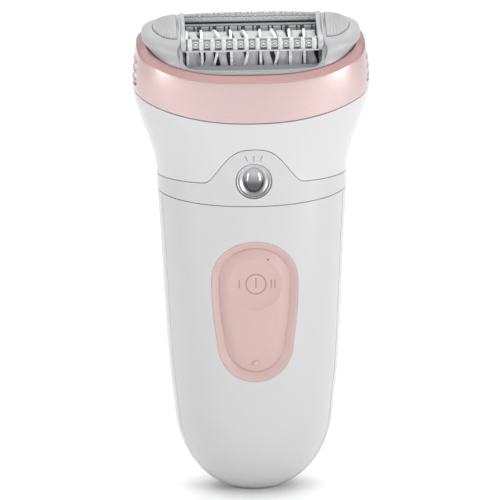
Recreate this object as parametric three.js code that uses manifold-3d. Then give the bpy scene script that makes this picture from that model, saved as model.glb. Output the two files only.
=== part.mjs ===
// A cordless wet-and-dry epilator, in millimetres. It stands on its base at Z = 0 and its front
// faces -Y. The handle, neck and collar share one outer form. The head leans forward and carries a
// turning drum of tweezers, driven by a motor in the handle through a crown gear and spur gears.
import * as THREE from "three";
import { mergeVertices } from "three/addons/utils/BufferGeometryUtils.js";
import Module from "manifold-3d";

const wasm = await Module();
wasm.setup();

// ---- Driving dimensions -------------------------------------------------------------------------

// Outer form of the handle, neck and collar: height, half width, half depth, centre y and the
// exponent of the superellipse that each level section follows.
const BODY_STATIONS = [
  [0, 24.1, 18.2, 1.2, 2.1],
  [24, 24.7, 18.6, 1.2, 2.1],
  [40, 26.3, 19.3, 1.2, 2.1],
  [60, 27.5, 19.8, 1.2, 2.1],
  [80, 28.4, 19.6, 1.0, 2.1],
  [95, 29.2, 19.3, 0.8, 2.1],
  [105, 29.7, 19.2, 0.5, 2.1],
  [113, 31.8, 19.4, 0.2, 2.15],
  [120, 34.3, 19.9, -0.1, 2.25],
  [127, 36.2, 20.3, -0.3, 2.4],
  [134, 36.3, 20.6, -0.4, 2.7],
  [143, 35.2, 20.5, -0.5, 3.0],
];
const END_HEIGHT = 26; // the foot of the handle rounds in over this height
const END_CUT = 1.2; // how much of the rounding the flat base cuts away
const END_POWER = 2.08;

const WALL = 1.8;
const BASE_THICKNESS = 2.2;
const SEAM_GAP = 0.15;
const PARTING_Y = -5.4; // the front shell is in front of this plane
const HANDLE_TOP = 94.5; // in front; the edge climbs towards the back
const HANDLE_SLOPE = 2.4;
const BAND_TOP = 101.5;
const BELL_HEIGHT = 11.1; // the band rises into a bell round the light
const BELL_WIDTH = 12.73;
const BELL_POWER = 2.8;
const BELL_SKIRT = 0.3; // share of the bell hidden below its foot
const COLLAR_BOTTOM = 129.2;
const COLLAR_TOP = 144.1;
const SEAM_SLOPE = 4.6; // the collar's edges fall towards the front
const SEAM_SADDLE = 3.6; // and dip at front and back
const COLLAR_WALL = 2.6;
const COLLAR_CHAMFER = 1.7;

const LIGHT = { z: 102.5, radius: 5.4, depth: 4.6 };
const BUTTON = { low: 38.3, high: 83.3, halfWidth: 13.4 };
const PANEL = { low: 41.2, high: 80.8, halfWidth: 10.9 };
const DISH = { z: 69.4, radius: 8.2, depth: 0.7 };
const INDICATOR = { z: 44.2, radius: 0.9 };
const INLET = { halfWidth: 4.4, halfDepth: 2.4, depth: 8, wall: 0.9, pinX: 3, pinRadius: 0.75 };

const RELEASE = { low: 130.8, high: 139.4, front: -7.5, back: 6.5, clearance: 0.3 };
const RIDGES = [132, 134.8, 137.6];

const RELEASE_SPRING = { x: 30.7, half: 0.25, front: -2.5, back: 1.5, low: 128.9, high: 137.5 };

const BATTERY = { y: 7.2, radius: 7.1, low: 20, length: 50, nub: 2.6, tab: 0.5 };
const MOTOR = { radius: 9.5, low: 74.1, high: 103.3, boss: 3.9, plateRadius: 10.4, plate: 1.5 };
const MOTOR_SCREW_X = 6;
const CHASSIS = { halfWidth: 12.5, low: 16, high: 72.8, back: 13, shelf: 1.6 };
const BOARD = { halfWidth: 10, front: -10.4, back: -9.2, low: 24, high: 106 };
const BOARD_SCREW = { x: 7, z: [28, 90] };
const SWITCH = { half: 3, front: -12.3, back: -10.5 };
const MEMBRANE = { halfWidth: 9, front: -13.3, back: -12.6, low: 58, high: 80 };
const LED = { half: 1.2, front: -11.4, back: -10.6 };
const NECK_SEAL = { low: 92, high: 93.8, gap: 0.3, thickness: 1.2 };

// The head's own frame: its origin is the middle of the collar's rim, y runs back and z up.
const HEAD_TILT = THREE.MathUtils.degToRad(12);
const HEAD_ORIGIN = new THREE.Vector3(0, -0.5, 142.1);
// Outer form of the head: height, front, back, half width and exponent of each section.
const HEAD_STATIONS = [
  [-15.5, -15.5, 13.5, 29.4, 3],
  [-5, -17.6, 16.6, 29.5, 3],
  [-3, -18.2, 17.4, 30.2, 3],
  [-0.5, -18.2, 17.4, 30.8, 3],
  [0.8, -17.7, 16.8, 31.1, 3],
  [2, -17.5, 15.8, 31.7, 3],
  [3.4, -17, 14, 33.1, 3],
  [4.8, -16, 11.5, 33.5, 3],
  [6, -14.6, 9.2, 32.4, 3],
  [7, -12.6, 7, 30.4, 2.9],
  [7.6, -10, 4.8, 27, 2.8],
  [7.9, -7, 2, 22, 2.6],
];
const WINDOW = { halfWidth: 22.2, front: -13.4, back: 8.9, sill: -1.1, floor: 1.4, corner: 3.1 };
const DRUM = { y: -3, z: -4.5, radius: 9.5, halfLength: 20.25, axleRadius: 1.5 };
const WHEELS = { count: 9, lobes: 4, waist: 7.2, gap: 0.16 };
const CAVITY = { halfLength: 20.6, radius: 10.4 };
const BEARING = { inner: 20.8, outer: 22.4, radius: 3 };

// Gear train: every wheel turns about an X axis except the motor pinion, which turns about Z.
const MODULE = 0.8;
const TRAIN = { drumTeeth: 20, idlerTeeth: 12, pinionTeeth: 12, left: 23, right: 26.2 };
const CROWN = { teeth: 24, module: 0.7, inner: 7.2, outer: 9.2, tip: 2.35, root: 3.8, back: 5.8 };
const MOTOR_PINION_TEETH = 8;
const CROWN_AXLE_RADIUS = 1.25;
const IDLER_AXLE_RADIUS = 1;

const PAD = { inner: 22.9, outer: 30.4, front: -11.4, back: 5.8, low: 0.12, high: 0.7 };
const FRAME = { halfWidth: 21.9, bar: 1.7, front: -13.9, back: 8.6, low: 3.1, high: 6.4, shelf: 4.4, wall: 0.5 };
const FRONT_ROLLER = { y: -12.5, z: 5.3, radius: 1.25, count: 11, pitch: 3.46 };
const REAR_ROLLER = { y: 7.2, z: 5.75, radius: 0.95, count: 10, pitch: 3.46 };

const AROUND = 36; // points round a section

// ---- Materials ----------------------------------------------------------------------------------

const material = (color, roughness, metalness = 0) =>
  new THREE.MeshStandardMaterial({ color, roughness, metalness });
const WHITE = material(0xe4e4e6, 0.3);
const HEAD_WHITE = material(0xdcdcde, 0.35);
const PINK = material(0xdfb9b5, 0.35, 0.5);
const SOFT_PINK = material(0xe0bfbb, 0.5);
const SILVER = material(0xc8c8cc, 0.3, 0.7);
const CLEAR = material(0xd8dce0, 0.15);
const STEEL = material(0xb8babd, 0.3, 1);
const BRASS = material(0xc9a65a, 0.35, 1);
const GREY = material(0x8a8c90, 0.6);
const DARK = material(0x303236, 0.7);
const RUBBER = material(0x2a2a2c, 0.9);
const GREEN = material(0x2f6b45, 0.6);
const BLUE = material(0x3b5f9a, 0.45);

// ---- Solids -------------------------------------------------------------------------------------

function solid(geometry) {
  const bare = geometry.clone();
  bare.deleteAttribute("normal");
  bare.deleteAttribute("uv");
  const merged = mergeVertices(bare, 1e-4);
  return new wasm.Manifold(
    new wasm.Mesh({
      numProp: 3,
      vertProperties: new Float32Array(merged.attributes.position.array),
      triVerts: new Uint32Array(merged.index.array),
    }),
  );
}

function geometryOf(body) {
  const mesh = body.getMesh();
  const geometry = new THREE.BufferGeometry();
  geometry.setAttribute("position", new THREE.BufferAttribute(mesh.vertProperties, 3));
  geometry.setIndex(new THREE.BufferAttribute(mesh.triVerts, 1));
  geometry.computeVertexNormals();
  return geometry;
}

const join = (first, ...others) => others.reduce((sum, other) => sum.add(other), first);
const cut = (first, ...others) => others.reduce((rest, other) => rest.subtract(other), first);

// A box between two corners.
function block(low, high) {
  const size = high.map((value, i) => value - low[i]);
  const middle = high.map((value, i) => (value + low[i]) / 2);
  return new THREE.BoxGeometry(...size).translate(...middle);
}
const box = (low, high) => solid(block(low, high));

// A solid of revolution about Y, from an outline of [radius, height] points in either order.
function turnedY(outline, segments = 24) {
  const points = outline.map(([radius, height]) => new THREE.Vector2(radius, height));
  if (THREE.ShapeUtils.area(points) < 0) points.reverse();
  return new THREE.LatheGeometry(points, segments);
}

// The same about X, from [distance, radius] points, and about Z, from [radius, height] points.
function turnedX(outline, segments) {
  const upright = outline.map(([distance, radius]) => [radius, distance]);
  return turnedY(upright, segments).rotateZ(-Math.PI / 2);
}
const turnedZ = (outline, segments) => turnedY(outline, segments).rotateX(Math.PI / 2);

// A round bar along X, Y or Z between two distances.
function barX(radius, from, to, y, z, segments = 20) {
  const outline = [[from, 0], [from, radius], [to, radius], [to, 0]];
  return turnedX(outline, segments).translate(0, y, z);
}
function barY(radius, from, to, x, z, segments = 24) {
  const bar = new THREE.CylinderGeometry(radius, radius, to - from, segments);
  return bar.translate(x, (from + to) / 2, z);
}
function barZ(radius, from, to, x, y, segments = 24) {
  const bar = new THREE.CylinderGeometry(radius, radius, to - from, segments).rotateX(Math.PI / 2);
  return bar.translate(x, y, (from + to) / 2);
}

// Joins closed sections of equal point count, and caps both ends.
function loft(rings) {
  const count = rings[0].length;
  const points = rings.flat();
  const index = [];
  for (let ring = 0; ring + 1 < rings.length; ring++) {
    for (let i = 0; i < count; i++) {
      const a = ring * count + i;
      const b = ring * count + ((i + 1) % count);
      index.push(a, b, b + count, a, b + count, a + count);
    }
  }
  const middle = (ring) =>
    ring.reduce((sum, p) => sum.add(p), new THREE.Vector3()).divideScalar(count);
  const last = (rings.length - 1) * count;
  const foot = points.push(middle(rings[0])) - 1;
  const crown = points.push(middle(rings[rings.length - 1])) - 1;
  for (let i = 0; i < count; i++) {
    const next = (i + 1) % count;
    index.push(foot, next, i, crown, last + i, last + next);
  }
  return new THREE.BufferGeometry().setFromPoints(points).setIndex(index);
}

// Joins closed sections in a loop, the last to the first, as the wall of a sleeve.
function sleeve(rings) {
  const count = rings[0].length;
  const index = [];
  for (let ring = 0; ring < rings.length; ring++) {
    const above = (ring + 1) % rings.length;
    for (let i = 0; i < count; i++) {
      const next = (i + 1) % count;
      const a = ring * count + i;
      const b = ring * count + next;
      index.push(a, b, above * count + next, a, above * count + next, above * count + i);
    }
  }
  return new THREE.BufferGeometry().setFromPoints(rings.flat()).setIndex(index);
}

// ---- The outer form of the body -----------------------------------------------------------------

// Smooth curve through one column of a station table.
function along(table, height, column) {
  let i = table.findIndex((row) => row[0] > height);
  if (i < 0) i = table.length - 1;
  i = Math.max(1, i);
  const slope = (k) => {
    const low = table[Math.max(0, k - 1)];
    const high = table[Math.min(table.length - 1, k + 1)];
    return (high[column] - low[column]) / (high[0] - low[0]);
  };
  const [before, after] = [table[i - 1], table[i]];
  const span = after[0] - before[0];
  const t = (height - before[0]) / span;
  return (
    before[column] * (2 * t ** 3 - 3 * t ** 2 + 1) +
    slope(i - 1) * span * (t ** 3 - 2 * t ** 2 + t) +
    after[column] * (3 * t ** 2 - 2 * t ** 3) +
    slope(i) * span * (t ** 3 - t ** 2)
  );
}

const bent = (value, exponent) => Math.sign(value) * Math.abs(value) ** (2 / exponent);

function footRounding(z) {
  const left = Math.max(0, 1 - (z + END_CUT) / (END_HEIGHT + END_CUT));
  return (1 - left ** END_POWER) ** (1 / END_POWER);
}

function bodyPoint(z, angle, inset = 0) {
  const [width, depth, centre, exponent] = [1, 2, 3, 4].map((k) => along(BODY_STATIONS, z, k));
  const round = footRounding(z);
  const x = bent(Math.cos(angle), exponent) * (width * round - inset);
  const y = centre + bent(Math.sin(angle), exponent) * (depth * round - inset);
  return new THREE.Vector3(x, y, z);
}

// A closed section of the body; its height may change round the section.
function bodyRing(height, inset = 0) {
  const ring = [];
  for (let i = 0; i < AROUND; i++) {
    const angle = (2 * Math.PI * i) / AROUND;
    const z = typeof height === "function" ? height(angle) : height;
    ring.push(bodyPoint(z, angle, inset));
  }
  return ring;
}

const bodySolid = (heights, inset = 0) => solid(loft(heights.map((z) => bodyRing(z, inset))));

// Wall between two edges, with levels of points in between.
function bodySleeve(low, high, outer, inner, levels, lip = 0) {
  const between = (t) => (angle) => low(angle) * (1 - t) + high(angle) * t;
  const steps = [...Array(levels + 1).keys()].map((i) => i / levels);
  const outside = steps.map((t) => bodyRing(between(t), outer));
  const inside = steps.map((t) => bodyRing(between(t), inner)).reverse();
  if (lip) outside[levels] = bodyRing((angle) => high(angle) - lip, outer);
  return solid(sleeve([...outside, ...inside]));
}

const level = (z) => () => z;
const climbing = (z) => (angle) => z + HANDLE_SLOPE * (1 + Math.sin(angle));
const saddle = (z) => (angle) =>
  z + SEAM_SLOPE * Math.sin(angle) - SEAM_SADDLE * Math.sin(angle) ** 2;

const HANDLE_LEVELS = [0, 1, 2.4, 4.5, 7.5, 11.5, 17, 25, 40, 58, 76, 88];

// ---- The outer form of the head -----------------------------------------------------------------

function headRing([z, front, back, halfWidth, exponent], grow = 0) {
  const centre = (front + back) / 2;
  const halfDepth = (back - front) / 2 + grow;
  const ring = [];
  for (let i = 0; i < AROUND; i++) {
    const angle = (2 * Math.PI * i) / AROUND;
    const x = bent(Math.cos(angle), exponent) * (halfWidth + grow);
    const y = centre + bent(Math.sin(angle), exponent) * halfDepth;
    ring.push(new THREE.Vector3(x, y, z + grow));
  }
  return ring;
}
const headSolid = (grow = 0) => solid(loft(HEAD_STATIONS.map((row) => headRing(row, grow))));
const headMatrix = new THREE.Matrix4().makeRotationX(HEAD_TILT).setPosition(HEAD_ORIGIN);
const inHandle = (geometry) => geometry.applyMatrix4(headMatrix);

// ---- Gears --------------------------------------------------------------------------------------

// A spur gear's outline with one tooth centred on the angle phase, and a round bore.
function gearShape(teeth, module, bore, phase) {
  const pitchRadius = (teeth * module) / 2;
  const tip = pitchRadius + 0.9 * module;
  const root = pitchRadius - 1.15 * module;
  const step = (2 * Math.PI) / teeth;
  const flanks = [[-0.26, root], [-0.1, tip], [0.1, tip], [0.26, root]];
  const points = [];
  for (let i = 0; i < teeth; i++) {
    for (const [turn, radius] of flanks) {
      const angle = phase + (i + turn) * step;
      points.push(new THREE.Vector2(Math.cos(angle) * radius, Math.sin(angle) * radius));
    }
  }
  const shape = new THREE.Shape(points);
  shape.holes.push(new THREE.Path().absarc(0, 0, bore, 0, 2 * Math.PI, true));
  return shape;
}

const gearBetween = (shape, from, to) =>
  new THREE.ExtrudeGeometry(shape, { depth: to - from, bevelEnabled: false, curveSegments: 8 })
    .translate(0, 0, from);

// A gear about X: an outline angle of 0 points down and a quarter turn points back.
const gearX = (shape, from, to, y, z) =>
  gearBetween(shape, from, to).rotateY(Math.PI / 2).translate(0, y, z);

const DRUM_PITCH = (TRAIN.drumTeeth * MODULE) / 2;
const SMALL_PITCH = (TRAIN.idlerTeeth * MODULE) / 2;
const IDLER_Z = DRUM.z - DRUM_PITCH - SMALL_PITCH;
const CROWN_Z = IDLER_Z - 2 * SMALL_PITCH;
const crownCentre = new THREE.Vector3(0, DRUM.y, CROWN_Z).applyMatrix4(headMatrix);

function drumGear() {
  const shape = gearShape(TRAIN.drumTeeth, MODULE, DRUM.axleRadius + 0.1, 0);
  return gearX(shape, TRAIN.left, TRAIN.right, DRUM.y, DRUM.z);
}

function idlerGear() {
  const halfTooth = Math.PI / TRAIN.idlerTeeth;
  const shape = gearShape(TRAIN.idlerTeeth, MODULE, IDLER_AXLE_RADIUS + 0.1, halfTooth);
  return gearX(shape, TRAIN.left, TRAIN.right, DRUM.y, IDLER_Z);
}

// The crown gear, its sleeve and its pinion are one moulding on the crown axle.
function crownGear() {
  const hub = 2.4;
  const bore = CROWN_AXLE_RADIUS + 0.1;
  const outline = [
    [CROWN.root, bore],
    [CROWN.root, CROWN.outer],
    [CROWN.back, CROWN.outer],
    [CROWN.back, hub],
    [TRAIN.left + 0.5, hub],
    [TRAIN.left + 0.5, bore],
    [CROWN.root, bore],
  ];
  let gear = solid(turnedX(outline, 30));
  const tooth = new THREE.Shape();
  tooth.moveTo(CROWN.root + 0.2, -0.46);
  tooth.lineTo(CROWN.root + 0.2, 0.46);
  tooth.lineTo(CROWN.tip, 0.22);
  tooth.lineTo(CROWN.tip, -0.22);
  const reach = { depth: CROWN.outer - CROWN.inner, bevelEnabled: false };
  for (let i = 0; i < CROWN.teeth; i++) {
    const prong = new THREE.ExtrudeGeometry(tooth, reach).translate(0, 0, CROWN.inner - 0.1);
    prong.rotateX(Math.PI - HEAD_TILT + (2 * Math.PI * i) / CROWN.teeth);
    gear = gear.add(solid(prong));
  }
  const pinion = gearShape(TRAIN.pinionTeeth, MODULE, bore, 0);
  gear = gear.add(solid(gearX(pinion, TRAIN.left, TRAIN.right, 0, 0)));
  return geometryOf(gear).translate(0, DRUM.y, CROWN_Z);
}

// ---- Handle -------------------------------------------------------------------------------------

// The outline of the push button and its surround: an upright rounded box that narrows downwards.
function buttonOutline({ low, high, halfWidth }, inset) {
  const half = halfWidth - inset;
  const bottom = low + inset;
  const top = high - inset;
  const shoulder = top - half * 0.95;
  const hip = bottom + half * 0.9;
  const narrow = half - 1.7;
  const shape = new THREE.Shape();
  shape.moveTo(0, bottom);
  shape.bezierCurveTo(narrow * 0.56, bottom, narrow, hip - half * 0.5, narrow, hip);
  shape.quadraticCurveTo(half, (hip + shoulder) / 2, half, shoulder);
  shape.bezierCurveTo(half, top - half * 0.42, half * 0.56, top, 0, top);
  shape.bezierCurveTo(-half * 0.56, top, -half, top - half * 0.42, -half, shoulder);
  shape.quadraticCurveTo(-half, (hip + shoulder) / 2, -narrow, hip);
  shape.bezierCurveTo(-narrow, hip - half * 0.5, -narrow * 0.56, bottom, 0, bottom);
  return shape;
}

// A prism of an outline drawn in X and Z, between two depths.
function prismY(shape, from, to, curveSegments = 5) {
  const prism = new THREE.ExtrudeGeometry(shape, {
    depth: to - from,
    bevelEnabled: false,
    curveSegments,
  });
  return solid(prism.rotateX(Math.PI / 2).translate(0, to, 0));
}

const frontSkin = (from, to) => {
  const heights = [34, 44, 56, 68, 78, 88];
  return cut(bodySolid(heights, from), bodySolid([33, ...heights.slice(1, 5), 89], to));
};

function shells() {
  const outer = bodySolid([...HANDLE_LEVELS, climbing(HANDLE_TOP - SEAM_GAP)]);
  const inner = bodySolid([BASE_THICKNESS, ...HANDLE_LEVELS.slice(3), BAND_TOP], WALL);
  const hull = outer.subtract(inner);
  const far = 120;
  const front = hull.intersect(box([-far, -far, -1], [far, PARTING_Y - SEAM_GAP, far]));
  const rear = hull.intersect(box([-far, PARTING_Y + SEAM_GAP, -1], [far, far, far]));
  const opening = prismY(buttonOutline(BUTTON, 0), -40, -8);
  const margin = INLET.wall + 0.3;
  const inletHole = box(
    [-INLET.halfWidth - margin, BODY_STATIONS[0][3] - INLET.halfDepth - margin, -1],
    [INLET.halfWidth + margin, BODY_STATIONS[0][3] + INLET.halfDepth + margin, 4],
  );
  return { front: front.subtract(opening), rear: rear.subtract(inletHole) };
}

// Height of the seam between the band and the neck: level, with a bell over the light in front.
function bellSeam(angle) {
  const x = bodyPoint(BAND_TOP, angle).x;
  const front = Math.sin(angle) < 0;
  const wave = Math.exp(-(Math.abs(x / BELL_WIDTH) ** BELL_POWER));
  const rise = (1 + BELL_SKIRT) * wave - BELL_SKIRT;
  return BAND_TOP + (front ? BELL_HEIGHT * Math.max(0, rise) : 0);
}

const lightHole = () => solid(barY(LIGHT.radius + 0.2, -30, -6, 0, LIGHT.z));

function lightBand() {
  const low = climbing(HANDLE_TOP + SEAM_GAP);
  const high = (angle) => bellSeam(angle) - SEAM_GAP;
  return cut(bodySleeve(low, high, 0, WALL, 3), lightHole());
}

function neckShell() {
  const high = (angle) => saddle(COLLAR_BOTTOM)(angle) - SEAM_GAP;
  return bodySleeve((angle) => bellSeam(angle) + SEAM_GAP, high, 0, WALL, 6);
}

function neckSeal() {
  const { low, high, gap, thickness } = NECK_SEAL;
  return bodySleeve(level(low), level(high), WALL + gap, WALL + gap + thickness, 1);
}

// A box through one side of the collar.
function throughSide(side, front, back, low, high) {
  const [left, right] = [side * 25, side * 45].sort((p, q) => p - q);
  return box([left, front, low], [right, back, high]);
}

function collar() {
  const low = (angle) => saddle(COLLAR_BOTTOM)(angle) + SEAM_GAP;
  const ring = bodySleeve(low, saddle(COLLAR_TOP), 0, COLLAR_WALL, 4, COLLAR_CHAMFER);
  const { front, back, clearance } = RELEASE;
  const [bottom, top] = [RELEASE.low - clearance, RELEASE.high + clearance];
  const windows = [-1, 1].map((side) =>
    throughSide(side, front - clearance, back + clearance, bottom, top),
  );
  return cut(ring, ...windows);
}

// A side button: a plate in the collar's window with finger ridges, and a flange behind the wall.
function releaseButton(side) {
  const skin = (from, to, ...limits) => {
    const wall = cut(
      bodySolid([126, 131, 135, 139, 142], from),
      bodySolid([125, 131, 135, 139, 143], to),
    );
    return wall.intersect(throughSide(side, ...limits));
  };
  const { front, back, low, high } = RELEASE;
  const inside = COLLAR_WALL + 0.7;
  const plate = skin(0.35, inside, front, back, low, high);
  const flange = skin(COLLAR_WALL + 0.25, inside, front - 1, back + 1, low, high + 0.8);
  const ridges = RIDGES.map((z) => skin(-0.15, 1, front + 0.6, back - 0.6, z - 0.6, z + 0.6));
  return join(plate, flange, ...ridges);
}

function releaseSpring(side) {
  const { x, half, front, back, low, high } = RELEASE_SPRING;
  return block([side * x - half, front, low], [side * x + half, back, high]);
}

// The floor under the head, with the cheeks that hold the two gear axles.
function headDeck() {
  const slab = inHandle(block([-40, -30, IDLER_Z - 0.1], [40, 30, IDLER_Z + 1.2]));
  const heights = [118, 122, 126, 130, 134];
  const plate = solid(slab).intersect(bodySolid(heights, COLLAR_WALL + 0.4));
  const cheek = (left, right, front, back, low) =>
    solid(inHandle(block([left, front, low], [right, back, IDLER_Z])));
  const cheeks = [
    cheek(-7, -5.2, DRUM.y - 3.6, DRUM.y + 3.6, CROWN_Z - 4),
    cheek(20.6, 22.3, DRUM.y - 4, DRUM.y + 4, CROWN_Z - 4),
    cheek(26.9, 28.4, DRUM.y - 4, DRUM.y + 4, CROWN_Z - 3),
  ];
  const hole = (radius, from, to, z) =>
    solid(inHandle(barX(radius, from, to, DRUM.y, z, 16)));
  const slot = block([22.5, DRUM.y - 6.4, IDLER_Z - 1], [26.7, DRUM.y + 6.4, IDLER_Z + 3]);
  return cut(
    join(plate, ...cheeks),
    hole(CROWN_AXLE_RADIUS + 0.1, -9, 29, CROWN_Z),
    hole(2.8, 19, 23, CROWN_Z),
    hole(IDLER_AXLE_RADIUS + 0.1, 19, 26.5, IDLER_Z),
    hole(IDLER_AXLE_RADIUS + 0.1, 26.5, 30, IDLER_Z),
    solid(inHandle(slot)),
  );
}

function switchBezel() {
  const skin = frontSkin(0.1, 2.6).intersect(prismY(buttonOutline(BUTTON, 0.2), -40, -8));
  return skin.subtract(prismY(buttonOutline(PANEL, -0.2), -41, -7));
}

function powerButton() {
  const plate = frontSkin(0.5, 2.3).intersect(prismY(buttonOutline(PANEL, 0.1), -40, -8));
  const surface = bodyPoint(DISH.z, -Math.PI / 2).y + 0.5;
  const sphere = (DISH.radius ** 2 + DISH.depth ** 2) / (2 * DISH.depth);
  const scoop = new THREE.SphereGeometry(sphere, 48, 32).rotateX(Math.PI / 2);
  scoop.translate(0, surface + DISH.depth - sphere, DISH.z);
  const reach = solid(barY(DISH.radius + 1, -30, -10, 0, DISH.z));
  const hole = solid(barY(INDICATOR.radius + 0.15, -40, 0, 0, INDICATOR.z, 16));
  return cut(plate, solid(scoop).intersect(reach), hole);
}

function lightReflector() {
  const mouth = bodyPoint(LIGHT.z, -Math.PI / 2).y + 0.35;
  const r = LIGHT.radius;
  const outline = [
    [0, LIGHT.depth],
    [0, LIGHT.depth - 0.8],
    [r * 0.45, LIGHT.depth - 0.8],
    [r * 0.8, 0.6],
    [r * 0.86, 0],
    [r, 0],
    [r * 0.62, LIGHT.depth],
    [0, LIGHT.depth],
  ];
  return turnedY(outline, 28).translate(0, mouth, LIGHT.z);
}

function lightLens() {
  const mouth = bodyPoint(LIGHT.z, -Math.PI / 2).y;
  const lens = new THREE.SphereGeometry(1, 20, 12);
  return lens.scale(2.9, 1.35, 3.4).translate(0, mouth + 2.2, LIGHT.z);
}

function inletSocket() {
  const y = BODY_STATIONS[0][3];
  const { halfWidth, halfDepth, depth, wall } = INLET;
  const outside = box(
    [-halfWidth - wall, y - halfDepth - wall, 0.2],
    [halfWidth + wall, y + halfDepth + wall, depth + 1.6],
  );
  const inside = box([-halfWidth, y - halfDepth, -1], [halfWidth, y + halfDepth, depth]);
  const pins = [-1, 1].map((side) =>
    solid(barZ(INLET.pinRadius + 0.1, depth - 1, depth + 3, side * INLET.pinX, y, 12)),
  );
  return cut(outside, inside, ...pins);
}

function inletSeal() {
  const y = BODY_STATIONS[0][3];
  const inner = INLET.wall + 0.25;
  const outer = INLET.wall + 1.5;
  const ring = (margin, low, high) =>
    box(
      [-INLET.halfWidth - margin, y - INLET.halfDepth - margin, low],
      [INLET.halfWidth + margin, y + INLET.halfDepth + margin, high],
    );
  return ring(outer, 2.6, 3.8).subtract(ring(inner, 2, 5));
}

function innerChassis() {
  const front = PARTING_Y + 0.2;
  const { halfWidth, low, high, back, shelf } = CHASSIS;
  return join(
    box([-halfWidth, front, low], [halfWidth, front + 1.5, high]),
    box([-9, front + 1, low], [9, back, low + shelf]),
    box([-10, front + 1, high - 0.6], [10, back, high - 0.6 + shelf]),
  );
}

function screw(length) {
  const outline = [[0, -length], [0.85, -length], [0.85, 0], [1.6, 0], [1.6, 1], [0, 1]];
  return turnedZ(outline, 14);
}

const motorScrewHoles = (from) =>
  [-1, 1].map((side) =>
    solid(barZ(1, from, MOTOR.high + 3, side * MOTOR_SCREW_X, crownCentre.y, 12)),
  );

function motorCan() {
  const { radius, low, high } = MOTOR;
  const outline = [
    [0, low],
    [radius - 1, low],
    [radius, low + 1],
    [radius, high - 1],
    [radius - 1, high],
    [0, high],
  ];
  const can = solid(turnedZ(outline, 28).translate(0, crownCentre.y, 0));
  const bore = solid(barZ(1.3, high - 3, high + 1, 0, crownCentre.y, 14));
  return cut(can, bore, ...motorScrewHoles(high - 3.5));
}

function motorPlate() {
  const { boss, plateRadius, high, plate } = MOTOR;
  const [low, top] = [high + 0.3, high + plate];
  const outline = [[boss, low], [plateRadius, low], [plateRadius, top], [boss, top], [boss, low]];
  const disc = solid(turnedZ(outline, 28).translate(0, crownCentre.y, 0));
  return cut(disc, ...motorScrewHoles(high - 1));
}

// ---- Head ---------------------------------------------------------------------------------------

// A wheel-shaped pocket beside the drum, open downwards.
function gearPocket(left, right, radius) {
  const round = solid(barX(radius, left, right, DRUM.y, DRUM.z, 32));
  const down = box([left, DRUM.y - radius * 0.72, -20], [right, DRUM.y + radius * 0.72, DRUM.z]);
  return round.add(down);
}

function headHousing() {
  const { halfWidth, front, back, sill, floor, corner } = WINDOW;
  const mouth = new THREE.Shape();
  mouth.moveTo(-halfWidth, 30);
  mouth.lineTo(-halfWidth, sill + corner);
  mouth.absarc(-halfWidth + corner, sill + corner, corner, Math.PI, 1.5 * Math.PI, false);
  mouth.absarc(halfWidth - corner, sill + corner, corner, 1.5 * Math.PI, 2 * Math.PI, false);
  mouth.lineTo(halfWidth, 30);
  const { halfLength, radius } = CAVITY;
  return cut(
    headSolid(),
    prismY(mouth, -40, front, 4),
    box([-halfWidth, front - 0.5, floor], [halfWidth, back, 30]),
    box([-halfLength, front - 0.5, DRUM.z], [halfLength, DRUM.y + radius, floor + 1]),
    solid(barX(radius, -halfLength, halfLength, DRUM.y, DRUM.z, 36)),
    solid(barX(BEARING.radius + 0.1, -24, 24, DRUM.y, DRUM.z, 20)),
    gearPocket(BEARING.outer + 0.2, 27.2, 9.7),
    gearPocket(-27.2, -BEARING.outer - 0.2, 9),
  );
}

function pad(side) {
  const { inner, outer, front, back, low, high } = PAD;
  const skin = headSolid(high).subtract(headSolid(low));
  const shape = new THREE.Shape();
  shape.moveTo(side * inner, front);
  const bulge = side * (outer + 2.4);
  shape.bezierCurveTo(bulge, front + 0.6, bulge, back - 0.6, side * inner, back);
  shape.lineTo(side * inner, front);
  const depth = { depth: 20, bevelEnabled: false, curveSegments: 14 };
  return skin.intersect(solid(new THREE.ExtrudeGeometry(shape, depth)));
}

function bearing(side) {
  const { inner, outer, radius } = BEARING;
  const bore = DRUM.axleRadius + 0.08;
  const xs = [side * inner, side * outer].sort((p, q) => p - q);
  const outline = [[xs[0], bore], [xs[0], radius], [xs[1], radius], [xs[1], bore], [xs[0], bore]];
  return turnedX(outline, 20).translate(0, DRUM.y, DRUM.z);
}

// One tweezer wheel: its lobes carry the tweezer plates, turned a little from its neighbour's.
function tweezerWheel(index) {
  const { count, lobes, waist, gap } = WHEELS;
  const points = [];
  const steps = 24;
  for (let i = 0; i < steps; i++) {
    const angle = (2 * Math.PI * i) / steps;
    const lobe = 0.5 + 0.5 * Math.cos(lobes * (angle - (index * Math.PI) / 5));
    const radius = waist + (DRUM.radius - waist) * lobe ** 0.6;
    points.push(new THREE.Vector2(Math.cos(angle) * radius, Math.sin(angle) * radius));
  }
  const shape = new THREE.Shape(points);
  const bore = DRUM.axleRadius + 0.05;
  shape.holes.push(new THREE.Path().absarc(0, 0, bore, 0, 2 * Math.PI, true));
  const pitch = (2 * DRUM.halfLength) / count;
  const from = -DRUM.halfLength + index * pitch + gap / 2;
  return gearX(shape, from, from + pitch - gap, DRUM.y, DRUM.z);
}

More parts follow.
